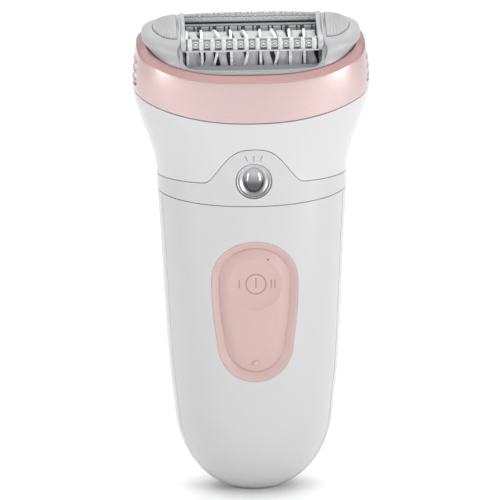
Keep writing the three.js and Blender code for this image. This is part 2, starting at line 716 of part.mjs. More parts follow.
// The skin-contact frame: two side rails, and a front and a back channel for the massage rollers.
function contactFrame() {
  const { halfWidth, bar, front, back, low, high, shelf, wall } = FRAME;
  const rail = new THREE.Shape();
  rail.moveTo(front + 1.5, low);
  rail.lineTo(back, low + 1.2);
  rail.lineTo(back, high);
  rail.quadraticCurveTo(-2, high + 0.6, front + 1.8, low + 4);
  rail.quadraticCurveTo(front, low + 3.3, front, low + 1.7);
  rail.quadraticCurveTo(front, low, front + 1.5, low);
  const thick = { depth: bar, bevelEnabled: false, curveSegments: 6 };
  const rails = [-halfWidth, halfWidth - bar].map((x) => {
    const plate = new THREE.ExtrudeGeometry(rail, thick);
    plate.rotateX(Math.PI / 2).rotateZ(Math.PI / 2);
    return solid(plate.translate(x, 0, 0));
  });
  const inner = halfWidth - bar + 0.2;
  const trough = low + 0.1;
  const channels = [
    box([-inner, front + 0.3, trough], [inner, -10.6, trough + wall]),
    box([-inner, -10.5 - wall, trough], [inner, -10.5, low + 3.5]),
    box([-inner, 6, shelf - 0.1], [inner, back, shelf - 0.1 + wall]),
    box([-inner, back - 0.4, shelf], [inner, back, high - 0.1]),
  ];
  const sockets = [FRONT_ROLLER, REAR_ROLLER].map(({ y, z }) =>
    solid(barX(0.62, -halfWidth + 0.6, halfWidth - 0.6, y, z, 12)),
  );
  return cut(join(...rails, ...channels), ...sockets);
}

// A row of massage rollers on their common axle.
function rollerSet({ y, z, radius, count, pitch }) {
  const end = FRAME.halfWidth - 0.9;
  const outline = [[-end, 0], [-end, 0.5]];
  for (let i = 0; i < count; i++) {
    const x = (i - (count - 1) / 2) * pitch;
    outline.push([x - 0.95, 0.5], [x - 0.85, radius], [x + 0.85, radius], [x + 0.95, 0.5]);
  }
  outline.push([end, 0.5], [end, 0]);
  return turnedX(outline, 8).translate(0, y, z);
}

// ---- Assembly -----------------------------------------------------------------------------------

const epilator = new THREE.Group();
const head = new THREE.Group();
head.position.copy(HEAD_ORIGIN);
head.rotation.x = HEAD_TILT;
epilator.add(head);

function piece(name, shape, look, parent = epilator) {
  const geometry = shape.isBufferGeometry ? shape : geometryOf(shape);
  const mesh = new THREE.Mesh(geometry, look);
  mesh.name = name;
  parent.add(mesh);
  return mesh;
}

const { front, rear } = shells();
piece("front_shell", front, WHITE);
piece("rear_shell", rear, WHITE);
piece("light_band", lightBand(), WHITE);
piece("neck_shell", neckShell(), WHITE);
piece("neck_seal", neckSeal(), RUBBER);
piece("collar", collar(), PINK);
piece("head_deck", headDeck(), GREY);

piece("switch_bezel", switchBezel(), SOFT_PINK);
piece("power_button", powerButton(), SOFT_PINK);
const panelFace = bodyPoint(INDICATOR.z, -Math.PI / 2).y;
const indicator = barY(INDICATOR.radius, panelFace + 0.3, panelFace + 2.2, 0, INDICATOR.z, 14);
piece("charge_indicator", indicator, CLEAR);
// A plate that stands upright behind the front, even about the middle.
const plateY = (half, { front, back }, low, high) =>
  block([-half, front, low], [half, back, high]);
const membrane = plateY(MEMBRANE.halfWidth, MEMBRANE, MEMBRANE.low, MEMBRANE.high);
piece("switch_membrane", membrane, RUBBER);
piece("circuit_board", plateY(BOARD.halfWidth, BOARD, BOARD.low, BOARD.high), GREEN);
piece("tact_switch", plateY(SWITCH.half, SWITCH, DISH.z - SWITCH.half, DISH.z + SWITCH.half), DARK);
for (const [index, z] of BOARD_SCREW.z.entries()) {
  const boardScrew = screw(0.3).rotateX(Math.PI / 2).translate(BOARD_SCREW.x, BOARD.front - 0.4, z);
  piece("board_screw_" + (index + 1), boardScrew, STEEL);
}

piece("light_reflector", lightReflector(), SILVER);
piece("light_lens", lightLens(), CLEAR);
piece("led_chip", plateY(LED.half, LED, LIGHT.z - LED.half, LIGHT.z + LED.half), CLEAR);

piece("inner_chassis", innerChassis(), GREY);
const { radius: cellRadius, length: cellLength, nub } = BATTERY;
const cell = [
  [0, 0],
  [cellRadius - 0.5, 0],
  [cellRadius, 0.6],
  [cellRadius, cellLength - 0.6],
  [cellRadius - 0.5, cellLength],
  [nub, cellLength],
  [nub, cellLength + 1],
  [0, cellLength + 1],
];
piece("battery_cell", turnedZ(cell, 28).translate(0, BATTERY.y, BATTERY.low), BLUE);
const tab = (low) => block([-3, BATTERY.y - 3, low], [3, BATTERY.y + 3, low + BATTERY.tab]);
piece("battery_tab_bottom", tab(BATTERY.low - 0.8), STEEL);
piece("battery_tab_top", tab(BATTERY.low + cellLength + 1.3), STEEL);

piece("inlet_socket", inletSocket(), DARK);
piece("inlet_seal", inletSeal(), RUBBER);
for (const [name, side] of [["left", -1], ["right", 1]]) {
  const x = side * INLET.pinX;
  const pin = barZ(INLET.pinRadius, 2.2, INLET.depth + 2.5, x, BODY_STATIONS[0][3], 12);
  piece("inlet_pin_" + name, pin, BRASS);
  piece("release_button_" + name, releaseButton(side), PINK);
  piece("release_spring_" + name, releaseSpring(side), STEEL);
}

piece("motor_can", motorCan(), STEEL);
piece("motor_plate", motorPlate(), STEEL);
for (const [index, side] of [-1, 1].entries()) {
  const plateScrew = screw(3).translate(side * MOTOR_SCREW_X, crownCentre.y, MOTOR.high + 1.6);
  piece("motor_screw_" + (index + 1), plateScrew, STEEL);
}
piece("motor_shaft", barZ(1, MOTOR.high - 2.5, MOTOR.high + 6.2, 0, crownCentre.y, 14), STEEL);
const pinionShape = gearShape(
  MOTOR_PINION_TEETH,
  CROWN.module,
  1.05,
  Math.PI / MOTOR_PINION_TEETH,
);
const pinionFoot = crownCentre.z - CROWN.outer - 0.3;
const motorPinion = gearBetween(pinionShape, pinionFoot, pinionFoot + 3.4);
piece("motor_pinion", motorPinion.translate(0, crownCentre.y, 0), BRASS);

piece("crown_gear", crownGear(), CLEAR, head);
piece("crown_axle", barX(CROWN_AXLE_RADIUS, -7.6, 28.4, DRUM.y, CROWN_Z, 14), STEEL, head);
piece("idler_gear", idlerGear(), CLEAR, head);
piece("idler_axle", barX(IDLER_AXLE_RADIUS, 20.4, 28.4, DRUM.y, IDLER_Z, 14), STEEL, head);

piece("head_housing", headHousing(), HEAD_WHITE, head);
for (const [name, side] of [["left", -1], ["right", 1]]) {
  piece("pad_" + name, pad(side), HEAD_WHITE, head);
  piece("drum_bearing_" + name, bearing(side), GREY, head);
}
piece("drum_axle", barX(DRUM.axleRadius, -22.5, 26.6, DRUM.y, DRUM.z, 16), STEEL, head);
piece("drum_gear", drumGear(), CLEAR, head);
for (let i = 0; i < WHEELS.count; i++) {
  piece("tweezer_wheel_" + (i + 1), tweezerWheel(i), SILVER, head);
}
piece("contact_frame", contactFrame(), CLEAR, head);
piece("front_roller_set", rollerSet(FRONT_ROLLER), SILVER, head);
piece("rear_roller_set", rollerSet(REAR_ROLLER), SILVER, head);

export default epilator;
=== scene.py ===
import math
import bmesh
import bpy
import numpy as np
from mathutils import Matrix, Vector


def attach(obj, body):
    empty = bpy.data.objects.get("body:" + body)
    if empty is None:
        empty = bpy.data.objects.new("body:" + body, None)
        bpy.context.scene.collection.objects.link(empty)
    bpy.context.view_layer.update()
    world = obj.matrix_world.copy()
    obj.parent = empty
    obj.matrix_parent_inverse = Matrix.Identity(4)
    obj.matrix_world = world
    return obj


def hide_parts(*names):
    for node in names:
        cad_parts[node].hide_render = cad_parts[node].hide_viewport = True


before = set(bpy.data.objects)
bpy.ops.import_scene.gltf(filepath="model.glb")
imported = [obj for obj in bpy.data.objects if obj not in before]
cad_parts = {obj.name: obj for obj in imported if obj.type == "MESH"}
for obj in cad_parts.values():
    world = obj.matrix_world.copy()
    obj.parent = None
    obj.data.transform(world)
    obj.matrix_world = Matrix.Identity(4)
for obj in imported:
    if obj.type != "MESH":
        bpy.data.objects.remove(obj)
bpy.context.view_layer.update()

MM = 0.001
CUT_SHARP_ANGLE, KEPT_SHARP_ANGLE = 35, 32  # degrees
TAU = 2 * math.pi

# ---- The forms shared with the CAD model --------------------------------------------------------

# height, half width, half depth, centre y, superellipse exponent
BODY = np.array([
    [0, 24.1, 18.2, 1.2, 2.1], [24, 24.7, 18.6, 1.2, 2.1], [40, 26.3, 19.3, 1.2, 2.1],
    [60, 27.5, 19.8, 1.2, 2.1], [80, 28.4, 19.6, 1.0, 2.1], [95, 29.2, 19.3, 0.8, 2.1],
    [105, 29.7, 19.2, 0.5, 2.1], [113, 31.8, 19.4, 0.2, 2.15], [120, 34.3, 19.9, -0.1, 2.25],
    [127, 36.2, 20.3, -0.3, 2.4], [134, 36.3, 20.6, -0.4, 2.7], [143, 35.2, 20.5, -0.5, 3.0],
])
END_HEIGHT, END_CUT, END_POWER = 26, 1.2, 2.08
WALL = 1.8
PARTING_Y = -5.4
HANDLE_TOP, HANDLE_SLOPE = 94.5, 2.4
BAND_TOP = 101.5
BELL_HEIGHT, BELL_WIDTH, BELL_POWER, BELL_SKIRT, BELL_FILLET = 11.1, 12.73, 2.7, 0.3, 0.004
COLLAR_BOTTOM, COLLAR_TOP = 129.2, 144.1
SEAM_SLOPE, SEAM_SADDLE = 4.6, 3.6
COLLAR_WALL = 2.6
LIGHT_Z, LIGHT_RADIUS = 102.5, 5.4
BUTTON = (38.3, 83.3, 13.4)
PANEL = (41.2, 80.8, 10.9)
BUTTON_TAPER = 1.7  # how much narrower the button is at its foot, on each side
DISH_Z, DISH_RADIUS = 69.4, 8.2
INDICATOR_Z = 44.2
RELEASE = (-7.5, 6.5, 130.8, 139.4)
RIDGES = (132.0, 134.8, 137.6)
INLET = (4.4, 2.4, 0.9)

HEAD_TILT = math.radians(12)
HEAD_ORIGIN = Vector((0, -0.5, 142.1))
# height, front, back, half width, exponent
HEAD = np.array([
    [-15.5, -15.5, 13.5, 29.9, 3], [-5, -17.6, 16.6, 30.5, 3], [-3, -18.2, 17.4, 31.2, 3],
    [-0.5, -18.2, 17.4, 31.7, 3], [0.8, -17.7, 16.8, 31.8, 3], [2, -17.5, 15.8, 32.1, 3],
    [3.4, -17, 14, 33.1, 3], [4.8, -16, 11.5, 33.5, 3], [6, -14.6, 9.2, 32.4, 3],
    [7, -12.6, 7, 30.4, 2.9], [7.6, -10, 4.8, 27, 2.8], [7.9, -7, 2, 22, 2.6],
])
WINDOW = {"half": 22.0, "back": 8.7, "sill": -1.0, "corner": 3.1}
DRUM_Y, DRUM_Z, DRUM_HALF, WHEELS = -3, -4.5, 20.25, 9
FRONT_ROLLER = {"y": -12.5, "z": 5.3, "radius": 1.1, "width": 1.7, "count": 11, "pitch": 3.46}
REAR_ROLLER = {"y": 7.2, "z": 5.75, "radius": 0.95, "width": 1.8, "count": 10, "pitch": 3.46}
FRAME_HALF, FRAME_BAR, FRAME_FRONT, FRAME_BACK = 21.9, 1.7, -13.9, 8.6
FRAME_LOW, FRAME_HIGH, FRAME_SHELF = 3.1, 6.4, 4.4

HEAD_MATRIX = Matrix.Translation(HEAD_ORIGIN) @ Matrix.Rotation(HEAD_TILT, 4, "X")


def along(table, value, column):
    """Smooth curve through one column of a station table."""
    x = table[:, 0]
    y = table[:, column]
    slope = np.empty(len(x))
    slope[1:-1] = (y[2:] - y[:-2]) / (x[2:] - x[:-2])
    slope[0] = (y[1] - y[0]) / (x[1] - x[0])
    slope[-1] = (y[-1] - y[-2]) / (x[-1] - x[-2])
    value = np.asarray(value, float)
    i = np.clip(np.searchsorted(x, value, side="right"), 1, len(x) - 1)
    span = x[i] - x[i - 1]
    t = (value - x[i - 1]) / span
    return (
        y[i - 1] * (2 * t**3 - 3 * t**2 + 1)
        + slope[i - 1] * span * (t**3 - 2 * t**2 + t)
        + y[i] * (3 * t**2 - 2 * t**3)
        + slope[i] * span * (t**3 - t**2)
    )


def bent(value, exponent):
    return np.sign(value) * np.abs(value) ** (2 / exponent)


def body_section(z):
    left = np.clip(1 - (z + END_CUT) / (END_HEIGHT + END_CUT), 0, 1)
    rounding = (1 - left**END_POWER) ** (1 / END_POWER)
    width, depth, centre, exponent = (along(BODY, z, k) for k in (1, 2, 3, 4))
    return width * rounding, depth * rounding, centre, exponent


def body_at(angle, z, inset=0.0):
    """Points of the body's skin by angle round it and height."""
    angle, z = np.broadcast_arrays(np.asarray(angle, float), np.asarray(z, float))
    width, depth, centre, exponent = body_section(z)
    x = bent(np.cos(angle), exponent) * (width - inset)
    y = centre + bent(np.sin(angle), exponent) * (depth - inset)
    return np.stack([x, y, z], -1)


def front_at(x, z, inset=0.0):
    """Points of the front of the body's skin by x and height."""
    x, z = np.broadcast_arrays(np.asarray(x, float), np.asarray(z, float))
    width, depth, centre, exponent = body_section(z)
    share = np.clip(np.abs(x) / (width - inset), 0, 1)
    y = centre - (depth - inset) * (1 - share**exponent) ** (1 / exponent)
    return np.stack([x, y, z], -1)


def head_at(angle, z, grow=0.0):
    """Points of the head's skin by angle and height, in the head's frame."""
    angle, z = np.broadcast_arrays(np.asarray(angle, float), np.asarray(z, float))
    front, back, half, exponent = (along(HEAD, z, k) for k in (1, 2, 3, 4))
    x = bent(np.cos(angle), exponent) * (half + grow)
    y = (front + back) / 2 + bent(np.sin(angle), exponent) * ((back - front) / 2 + grow)
    return np.stack([x, y, z + grow * np.clip(z / 8, 0, 1)], -1)


def saddle(z, angle):
    return z + SEAM_SLOPE * np.sin(angle) - SEAM_SADDLE * np.sin(angle) ** 2


def climbing(z, angle):
    return z + HANDLE_SLOPE * (1 + np.sin(angle))


def bell(angle):
    x = body_at(angle, BAND_TOP)[..., 0]
    rise = (1 + BELL_SKIRT) * np.exp(-(np.abs(x / BELL_WIDTH) ** BELL_POWER)) - BELL_SKIRT
    eased = (rise + np.sqrt(rise**2 + BELL_FILLET)) / 2
    return BAND_TOP + np.where(np.sin(angle) < 0, BELL_HEIGHT * eased, 0)


# ---- Mesh building ------------------------------------------------------------------------------

def mesh_from(name, points, faces, smooth=True):
    mesh = bpy.data.meshes.new(name)
    mesh.from_pydata([tuple(p) for p in np.asarray(points, float) * MM], [], faces)
    mesh.validate()
    form = bmesh.new()
    form.from_mesh(mesh)
    bmesh.ops.recalc_face_normals(form, faces=form.faces)
    form.to_mesh(mesh)
    form.free()
    mesh.polygons.foreach_set("use_smooth", [smooth] * len(mesh.polygons))
    return mesh


def add_piece(name, mesh, material, body, replaces=(), on_head=False):
    piece = bpy.data.objects.new(name, mesh)
    bpy.context.scene.collection.objects.link(piece)
    if on_head:
        lean = HEAD_MATRIX.copy()
        lean.translation = HEAD_ORIGIN * MM
        mesh.transform(lean)
    if not mesh.materials:
        mesh.materials.append(material)
    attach(piece, body)
    if replaces:
        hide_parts(*replaces)
    return piece


def grid_faces(rows, columns, wrap_rows, wrap_columns):
    faces = []
    for r in range(rows if wrap_rows else rows - 1):
        above = (r + 1) % rows
        for c in range(columns if wrap_columns else columns - 1):
            right = (c + 1) % columns
            faces.append((r * columns + c, r * columns + right,
                          above * columns + right, above * columns + c))
    return faces


def ring_mesh(name, rings, closed=True, caps=False):
    """A mesh through rings of points; closed joins the last ring to the first."""
    rings = np.asarray(rings)
    rows, columns = rings.shape[:2]
    faces = grid_faces(rows, columns, closed, True)
    if caps:
        faces.append(tuple(range(columns))[::-1])
        faces.append(tuple((rows - 1) * columns + i for i in range(columns)))
    return mesh_from(name, rings.reshape(-1, 3), faces)


def roll(end, radius, thickness, steps=4):
    """Profile of a rounded edge, from the skin round to the inner wall."""
    turns = [i / steps * math.pi / 2 for i in range(steps + 1)]
    edge = [(end, radius * (1 - math.sin(t)), radius * (1 - math.cos(t))) for t in turns]
    return [(end, radius * 2.2, 0)] + edge + [(end, 0, thickness)]


def ribbon(name, start, finish, surface, profile, margin=0.7):
    """A closed wall between two outlines of one surface. The profile's rows are (where, distance,
    inset): where is "a" from the start, "b" from the finish, or "f" for a share of the way between
    the two margins."""
    reach = finish - start
    length = np.linalg.norm(reach, axis=1, keepdims=True)
    rings = []
    for where, distance, inset in profile:
        if where == "a":
            spot = start + reach / length * distance
        elif where == "b":
            spot = finish - reach / length * distance
        else:
            spot = start + reach / length * (margin + (length - 2 * margin) * distance)
        rings.append(surface(spot, inset))
    return ring_mesh(name, rings)


def wall_profile(levels, thickness, radius, ease=1.0):
    shares = [1 - (1 - i / (levels + 1)) ** ease for i in range(1, levels + 1)]
    middle = [("f", s, 0) for s in shares]
    inside = [("f", s, thickness) for s in reversed(shares[::4])]
    return roll("a", radius, thickness)[::-1] + middle + roll("b", radius, thickness) + inside


def turned(name, outline, segments=64, axis="Y"):
    """A solid of revolution from (radius, distance) points along an axis."""
    angles = np.linspace(0, TAU, segments, endpoint=False)
    rings = []
    for radius, distance in outline:
        circle = [np.cos(angles) * radius, np.sin(angles) * radius, np.full(segments, distance)]
        if axis == "Y":
            rings.append(np.stack([circle[0], circle[2], circle[1]], -1))
        elif axis == "X":
            rings.append(np.stack([circle[2], circle[0], circle[1]], -1))
        else:
            rings.append(np.stack(circle, -1))
    return ring_mesh(name, rings, closed=False, caps=True)


def moved(mesh, *offset):
    mesh.transform(Matrix.Translation(Vector(offset) * MM))
    return mesh


def merged(name, meshes):
    """One mesh from several."""
    points, faces, smooth, finish = [], [], [], []
    for mesh in meshes:
        base = len(points)
        points += [v.co / MM for v in mesh.vertices]
        faces += [tuple(base + i for i in p.vertices) for p in mesh.polygons]
        smooth += [p.use_smooth for p in mesh.polygons]
        finish += [p.material_index for p in mesh.polygons]
        bpy.data.meshes.remove(mesh)
    whole = mesh_from(name, points, faces)
    whole.polygons.foreach_set("use_smooth", smooth)
    whole.polygons.foreach_set("material_index", finish)
    return whole


def prism(name, outline, low, high, place):
    """A flat-sided body: an outline of 2D points carried from low to high by place(a, b, depth)."""
    count = len(outline)
    points = [place(a, b, low) for a, b in outline] + [place(a, b, high) for a, b in outline]
    faces = [tuple(range(count))[::-1], tuple(range(count, 2 * count))]
    for i in range(count):
        j = (i + 1) % count
        faces.append((i, j, count + j, count + i))
    return mesh_from(name, points, faces, smooth=False)


def bevel(piece, width, segments=3, angle=40):
    rounding = piece.modifiers.new("edge", "BEVEL")
    rounding.width = width * MM
    rounding.segments = segments
    rounding.limit_method = "ANGLE"
    rounding.angle_limit = math.radians(angle)
    for polygon in piece.data.polygons:
        polygon.use_smooth = True
    return piece


def cut_away(piece, *tools):
    """Cuts the tools' meshes out of a piece and keeps the result in its mesh."""
    for number, mesh in enumerate(tools):
        tool = bpy.data.objects.new(f"{piece.name}_tool_{number}", mesh)
        bpy.context.scene.collection.objects.link(tool)
        step = piece.modifiers.new("cut", "BOOLEAN")
        step.operation = "DIFFERENCE"
        step.solver = "EXACT"
        step.object = tool
        bpy.context.view_layer.update()
        result = bpy.data.meshes.new_from_object(
            piece.evaluated_get(bpy.context.evaluated_depsgraph_get())
        )
        piece.modifiers.clear()
        piece.data = result
        bpy.data.objects.remove(tool)
    piece.data.set_sharp_from_angle(angle=math.radians(CUT_SHARP_ANGLE))
    return piece


# ---- Materials ----------------------------------------------------------------------------------

PLASTIC_IOR = 1.45
NOISE_BAND = (0.3, 0.7)  # the part of a noise texture's output that is used
WORN_EDGE = (0.52, 0.62)  # pointiness at which an edge starts and ends to look rubbed
FLAKE_SCALE = 6500
GRAIN_HEIGHT = 0.0002  # metres

def material(name, color, rough, metallic=0.0, *, tint=0.02, spread=0.05, grain=900.0, bump=0.04,
             blotch=60.0, coat=0.0, coat_rough=0.1, specular=0.5, transmission=0.0, wear=0.0,
             flakes=0.0, brush=None, painted_light_by_height=None):
    """A moulded or metal finish: colour and roughness vary softly, and a fine grain stands up."""
    mat = bpy.data.materials.new(name)
    mat.use_nodes = True
    nodes, links = mat.node_tree.nodes, mat.node_tree.links
    shader = nodes["Principled BSDF"]
    shader.inputs["Metallic"].default_value = metallic
    shader.inputs["Coat Weight"].default_value = coat
    shader.inputs["Coat Roughness"].default_value = coat_rough
    shader.inputs["Specular IOR Level"].default_value = specular
    shader.inputs["Transmission Weight"].default_value = transmission
    shader.inputs["IOR"].default_value = PLASTIC_IOR

    place = nodes.new("ShaderNodeTexCoord")
    mapping = nodes.new("ShaderNodeMapping")
    links.new(place.outputs["Object"], mapping.inputs["Vector"])
    if brush:
        mapping.inputs["Scale"].default_value = brush

    def noise(scale, detail, vector):
        texture = nodes.new("ShaderNodeTexNoise")
        texture.inputs["Scale"].default_value = scale
        texture.inputs["Detail"].default_value = detail
        links.new(vector, texture.inputs["Vector"])
        return texture.outputs["Fac"]

    def ranged(value, low, high):
        step = nodes.new("ShaderNodeMapRange")
        step.inputs["From Min"].default_value, step.inputs["From Max"].default_value = NOISE_BAND
        step.inputs["To Min"].default_value = low
        step.inputs["To Max"].default_value = high
        links.new(value, step.inputs["Value"])
        return step.outputs["Result"]

    def blend(factor, first, second):
        mix = nodes.new("ShaderNodeMix")
        mix.data_type = "RGBA"
        links.new(factor, mix.inputs["Factor"])
        for socket, value in ((mix.inputs[6], first), (mix.inputs[7], second)):
            if isinstance(value, tuple):
                socket.default_value = (*value, 1)
            else:
                links.new(value, socket)
        return mix.outputs[2]

    cloud = noise(blotch, 3.0, place.outputs["Object"])
    dark = tuple(max(0, c * (1 - tint)) for c in color)
    pale = tuple(min(1, c * (1 + tint)) for c in color)
    paint = blend(ranged(cloud, 0, 1), dark, pale)
    if flakes:
        cells = nodes.new("ShaderNodeTexVoronoi")
        cells.inputs["Scale"].default_value = FLAKE_SCALE
        links.new(place.outputs["Object"], cells.inputs["Vector"])
        tone = nodes.new("ShaderNodeSeparateColor")
        links.new(cells.outputs["Color"], tone.inputs["Color"])
        glint = tuple(min(1, c * (1 + flakes)) for c in color)
        paint = blend(ranged(tone.outputs["Red"], 0, 0.55), paint, glint)
    # Painted light: the colour blends to a lighter one between two heights, a painted highlight on
    # the upper part and painted shade on the lower part.
    if painted_light_by_height:
        painted_top_color, from_z, to_z = painted_light_by_height
        split = nodes.new("ShaderNodeSeparateXYZ")
        links.new(place.outputs["Object"], split.inputs["Vector"])
        height = nodes.new("ShaderNodeMapRange")
        height.interpolation_type = "SMOOTHSTEP"
        height.inputs["From Min"].default_value = from_z * MM
        height.inputs["From Max"].default_value = to_z * MM
        links.new(split.outputs["Z"], height.inputs["Value"])
        paint = blend(height.outputs["Result"], paint, painted_top_color)
    if wear:
        form = nodes.new("ShaderNodeNewGeometry")
        edge = nodes.new("ShaderNodeMapRange")
        edge.inputs["From Min"].default_value, edge.inputs["From Max"].default_value = WORN_EDGE
        edge.inputs["To Max"].default_value = wear
        links.new(form.outputs["Pointiness"], edge.inputs["Value"])
        rub = tuple(min(1, c * 1.12 + 0.03) for c in color)
        paint = blend(edge.outputs["Result"], paint, rub)
    links.new(paint, shader.inputs["Base Color"])
    patches = noise(blotch * 2.7, 4.0, mapping.outputs["Vector"])
    links.new(ranged(patches, rough - spread, rough + spread), shader.inputs["Roughness"])
    if bump:
        height = nodes.new("ShaderNodeBump")
        height.inputs["Strength"].default_value = bump
        height.inputs["Distance"].default_value = GRAIN_HEIGHT
        links.new(noise(grain, 2.0, mapping.outputs["Vector"]), height.inputs["Height"])
        links.new(height.outputs["Normal"], shader.inputs["Normal"])
    return mat


def srgb(*values):
    return tuple(((v / 255 + 0.055) / 1.055) ** 2.4 for v in values)


GLOSS_WHITE = material("gloss_white", srgb(187, 187, 188), 0.22, coat=0.25, coat_rough=0.08,
                       tint=0.002, spread=0.01, grain=1400, bump=0.02)
NECK_WHITE = material("neck_white", srgb(194, 194, 195), 0.26, coat=0.2, coat_rough=0.1,
                      tint=0.002, spread=0.01, grain=1400, bump=0.02)
CAP_WHITE = material("cap_white", srgb(172, 172, 173), 0.34, tint=0.01, grain=1800, bump=0.05)
# Mid-grey for the head's housing seen inside the window: painted shade for the inside of the
# window.
HOUSING_PAINTED_SHADE = material("housing_painted_shade", srgb(128, 129, 131), 0.45, tint=0.02, grain=1800, bump=0.08)
PAD_WHITE = material("pad_white", srgb(168, 168, 169), 0.42, tint=0.01, grain=2200, bump=0.08)
DOT_WHITE = material("dot_white", srgb(192, 192, 194), 0.3, tint=0.01, bump=0.03)
METAL_PINK = material("metal_pink", srgb(191, 168, 166), 0.34, 0.6, tint=0.012, spread=0.03,
                      grain=2600, bump=0.05, coat=1.0, coat_rough=0.26, flakes=0.12)
# Darker, more saturated pink for the collar's chamfer: painted shade, standing in for the dark
# surroundings the sloped chamfer reflects.
RIM_PINK_PAINTED_SHADE = material("rim_pink_painted_shade", srgb(161, 126, 124), 0.4, 0.5, tint=0.012, spread=0.03,
                    grain=2600, bump=0.05, coat=0.3, coat_rough=0.2, flakes=0.08)
SOFT_PINK = material("soft_pink", srgb(190, 163, 159), 0.5, tint=0.012, spread=0.05,
                     grain=3000, bump=0.12)
MARK_PINK = material("mark_pink", srgb(158, 124, 121), 0.5, tint=0.03, bump=0.05)
MARK_GREY = material("mark_grey", srgb(140, 142, 146), 0.45, tint=0.03, bump=0.05)
PEARL = material("pearl_frame", srgb(200, 201, 203), 0.22, 0.12, coat=0.4, coat_rough=0.1,
                 tint=0.02, spread=0.05, grain=1500, bump=0.04, wear=0.3)
RAIL = material("rail_pearl", srgb(180, 181, 183), 0.26, 0.1, coat=0.3, coat_rough=0.1,
                tint=0.02, grain=1500, bump=0.04, wear=0.2)
ROLLER = material("roller_grey", srgb(206, 207, 210), 0.34, 0.1, tint=0.05, bump=0.05)
# Dark colour for the rollers' grooves: painted shade in the grooves.
GROOVE_PAINTED_SHADE = material("roller_groove_painted_shade", srgb(72, 73, 76), 0.5, tint=0.05, bump=0.08)
PLATE = material("tweezer_plate", srgb(242, 242, 243), 0.26, 0.25, tint=0.02, spread=0.08,
                 brush=(1, 8, 1), grain=1500, bump=0.06, wear=0.4)
DISC = material("tweezer_cushion", srgb(192, 192, 194), 0.36, tint=0.03, bump=0.06)
# The reflector turns lighter towards its top: painted highlight on its upper part.
SILVER_PAINTED_LIGHT = material("reflector_silver", srgb(168, 168, 170), 0.36, 0.6, tint=0.02, bump=0.03,
                  painted_light_by_height=(srgb(206, 206, 208), 102, 107))
# The bulb is dark below and light above: painted reflection on its dome, with a painted highlight
# on the upper half.
BULB_PAINTED_LIGHT = material("bulb_silver_painted_light", srgb(58, 58, 61), 0.16, 0.35, tint=0.03, coat=0.8,
                coat_rough=0.04, bump=0.02, painted_light_by_height=(srgb(196, 196, 199), 101.3, 105.2))
CLEAR = material("clear_lens", srgb(236, 238, 240), 0.08, tint=0.01, transmission=0.9,
                 spread=0.03, bump=0.01)
STEEL = material("steel", srgb(182, 184, 187), 0.28, 1.0, tint=0.04, spread=0.08,
                 brush=(1, 1, 12), grain=900, bump=0.08, wear=0.5)
BRASS = material("brass", srgb(196, 164, 96), 0.3, 1.0, tint=0.05, spread=0.08, bump=0.05)
ACETAL = material("gear_acetal", srgb(226, 222, 210), 0.45, tint=0.02, bump=0.08)
GREY = material("moulded_grey", srgb(104, 106, 110), 0.5, tint=0.04, grain=1600, bump=0.12)
DARK = material("moulded_dark", srgb(46, 47, 50), 0.55, tint=0.05, grain=1800, bump=0.15)
RUBBER = material("seal_rubber", srgb(34, 34, 36), 0.75, tint=0.08, spread=0.1, bump=0.1)
BOARD = material("solder_mask", srgb(36, 96, 60), 0.38, tint=0.12, grain=700, bump=0.1)
CELL = material("cell_wrap", srgb(56, 92, 150), 0.35, tint=0.06, bump=0.05)

# ---- Outlines on the body's front ---------------------------------------------------------------

CENTRE = (0, sum(BUTTON[:2]) / 2)
SEAM = 0.08


def bezier(points, count):
    t = np.linspace(0, 1, count, endpoint=False)[:, None]
    spots = [np.array(p, float) for p in points]
    while len(spots) > 1:
        spots = [a * (1 - t) + b * t for a, b in zip(spots, spots[1:])]
    return spots[0]


def button_outline(size, inset=0.0, count=60):
    """An upright rounded box that narrows downwards, anticlockwise from its lowest point."""
    low, high, half = size[0] + inset, size[1] - inset, size[2] - inset
    shoulder = high - half * 0.95
    hip = low + half * 0.9
    narrow = half - BUTTON_TAPER
    waist = (hip + shoulder) / 2
    return np.vstack([
        bezier([(0, low), (narrow * 0.56, low), (narrow, hip - half * 0.5), (narrow, hip)], count),
        bezier([(narrow, hip), (half, waist), (half, shoulder)], count),
        bezier([(half, shoulder), (half, high - half * 0.42), (half * 0.56, high), (0, high)],
               count),
        bezier([(0, high), (-half * 0.56, high), (-half, high - half * 0.42), (-half, shoulder)],
               count),
        bezier([(-half, shoulder), (-half, waist), (-narrow, hip)], count),
        bezier([(-narrow, hip), (-narrow, hip - half * 0.5), (-narrow * 0.56, low), (0, low)],
               count),
    ])


def on_rays(outline, centre, angles):
    """The outline's points at the given angles about a centre inside it."""
    reach = outline - centre
    turn = np.arctan2(reach[:, 1], reach[:, 0])
    order = np.argsort(turn)
    radius = np.interp(angles, turn[order], np.linalg.norm(reach, axis=1)[order], period=TAU)
    return centre + radius[:, None] * np.stack([np.cos(angles), np.sin(angles)], 1)


def front_edge(angles, top, parting):
    """Where rays on the front leave it, at the parting plane or at the top seam."""
    ray = np.stack([np.cos(angles), np.sin(angles)], 1)
    near, far = np.zeros(len(angles)), np.full(len(angles), 90.0)
    for _ in range(44):
        middle = (near + far) / 2
        spot = np.array(CENTRE) + ray * middle[:, None]
        z = np.clip(spot[:, 1], 0, BODY[-1, 0])
        width, depth, centre, exponent = body_section(z)
        share = np.minimum(np.abs(spot[:, 0]) / width, 1)
        y = centre - depth * (1 - share**exponent) ** (1 / exponent)
        roof = climbing(top, -np.arccos(share ** (exponent / 2)))
        inside = (y < parting) & (spot[:, 1] < roof) & (spot[:, 1] > 0)
        near, far = np.where(inside, middle, near), np.where(inside, far, middle)
    return np.array(CENTRE) + ray * near[:, None]


def wrap_front(spot, inset):
    return front_at(spot[:, 0], spot[:, 1], inset)


def wrap_body(spot, inset):
    return body_at(spot[:, 0], spot[:, 1], inset)


# ---- Shells -------------------------------------------------------------------------------------

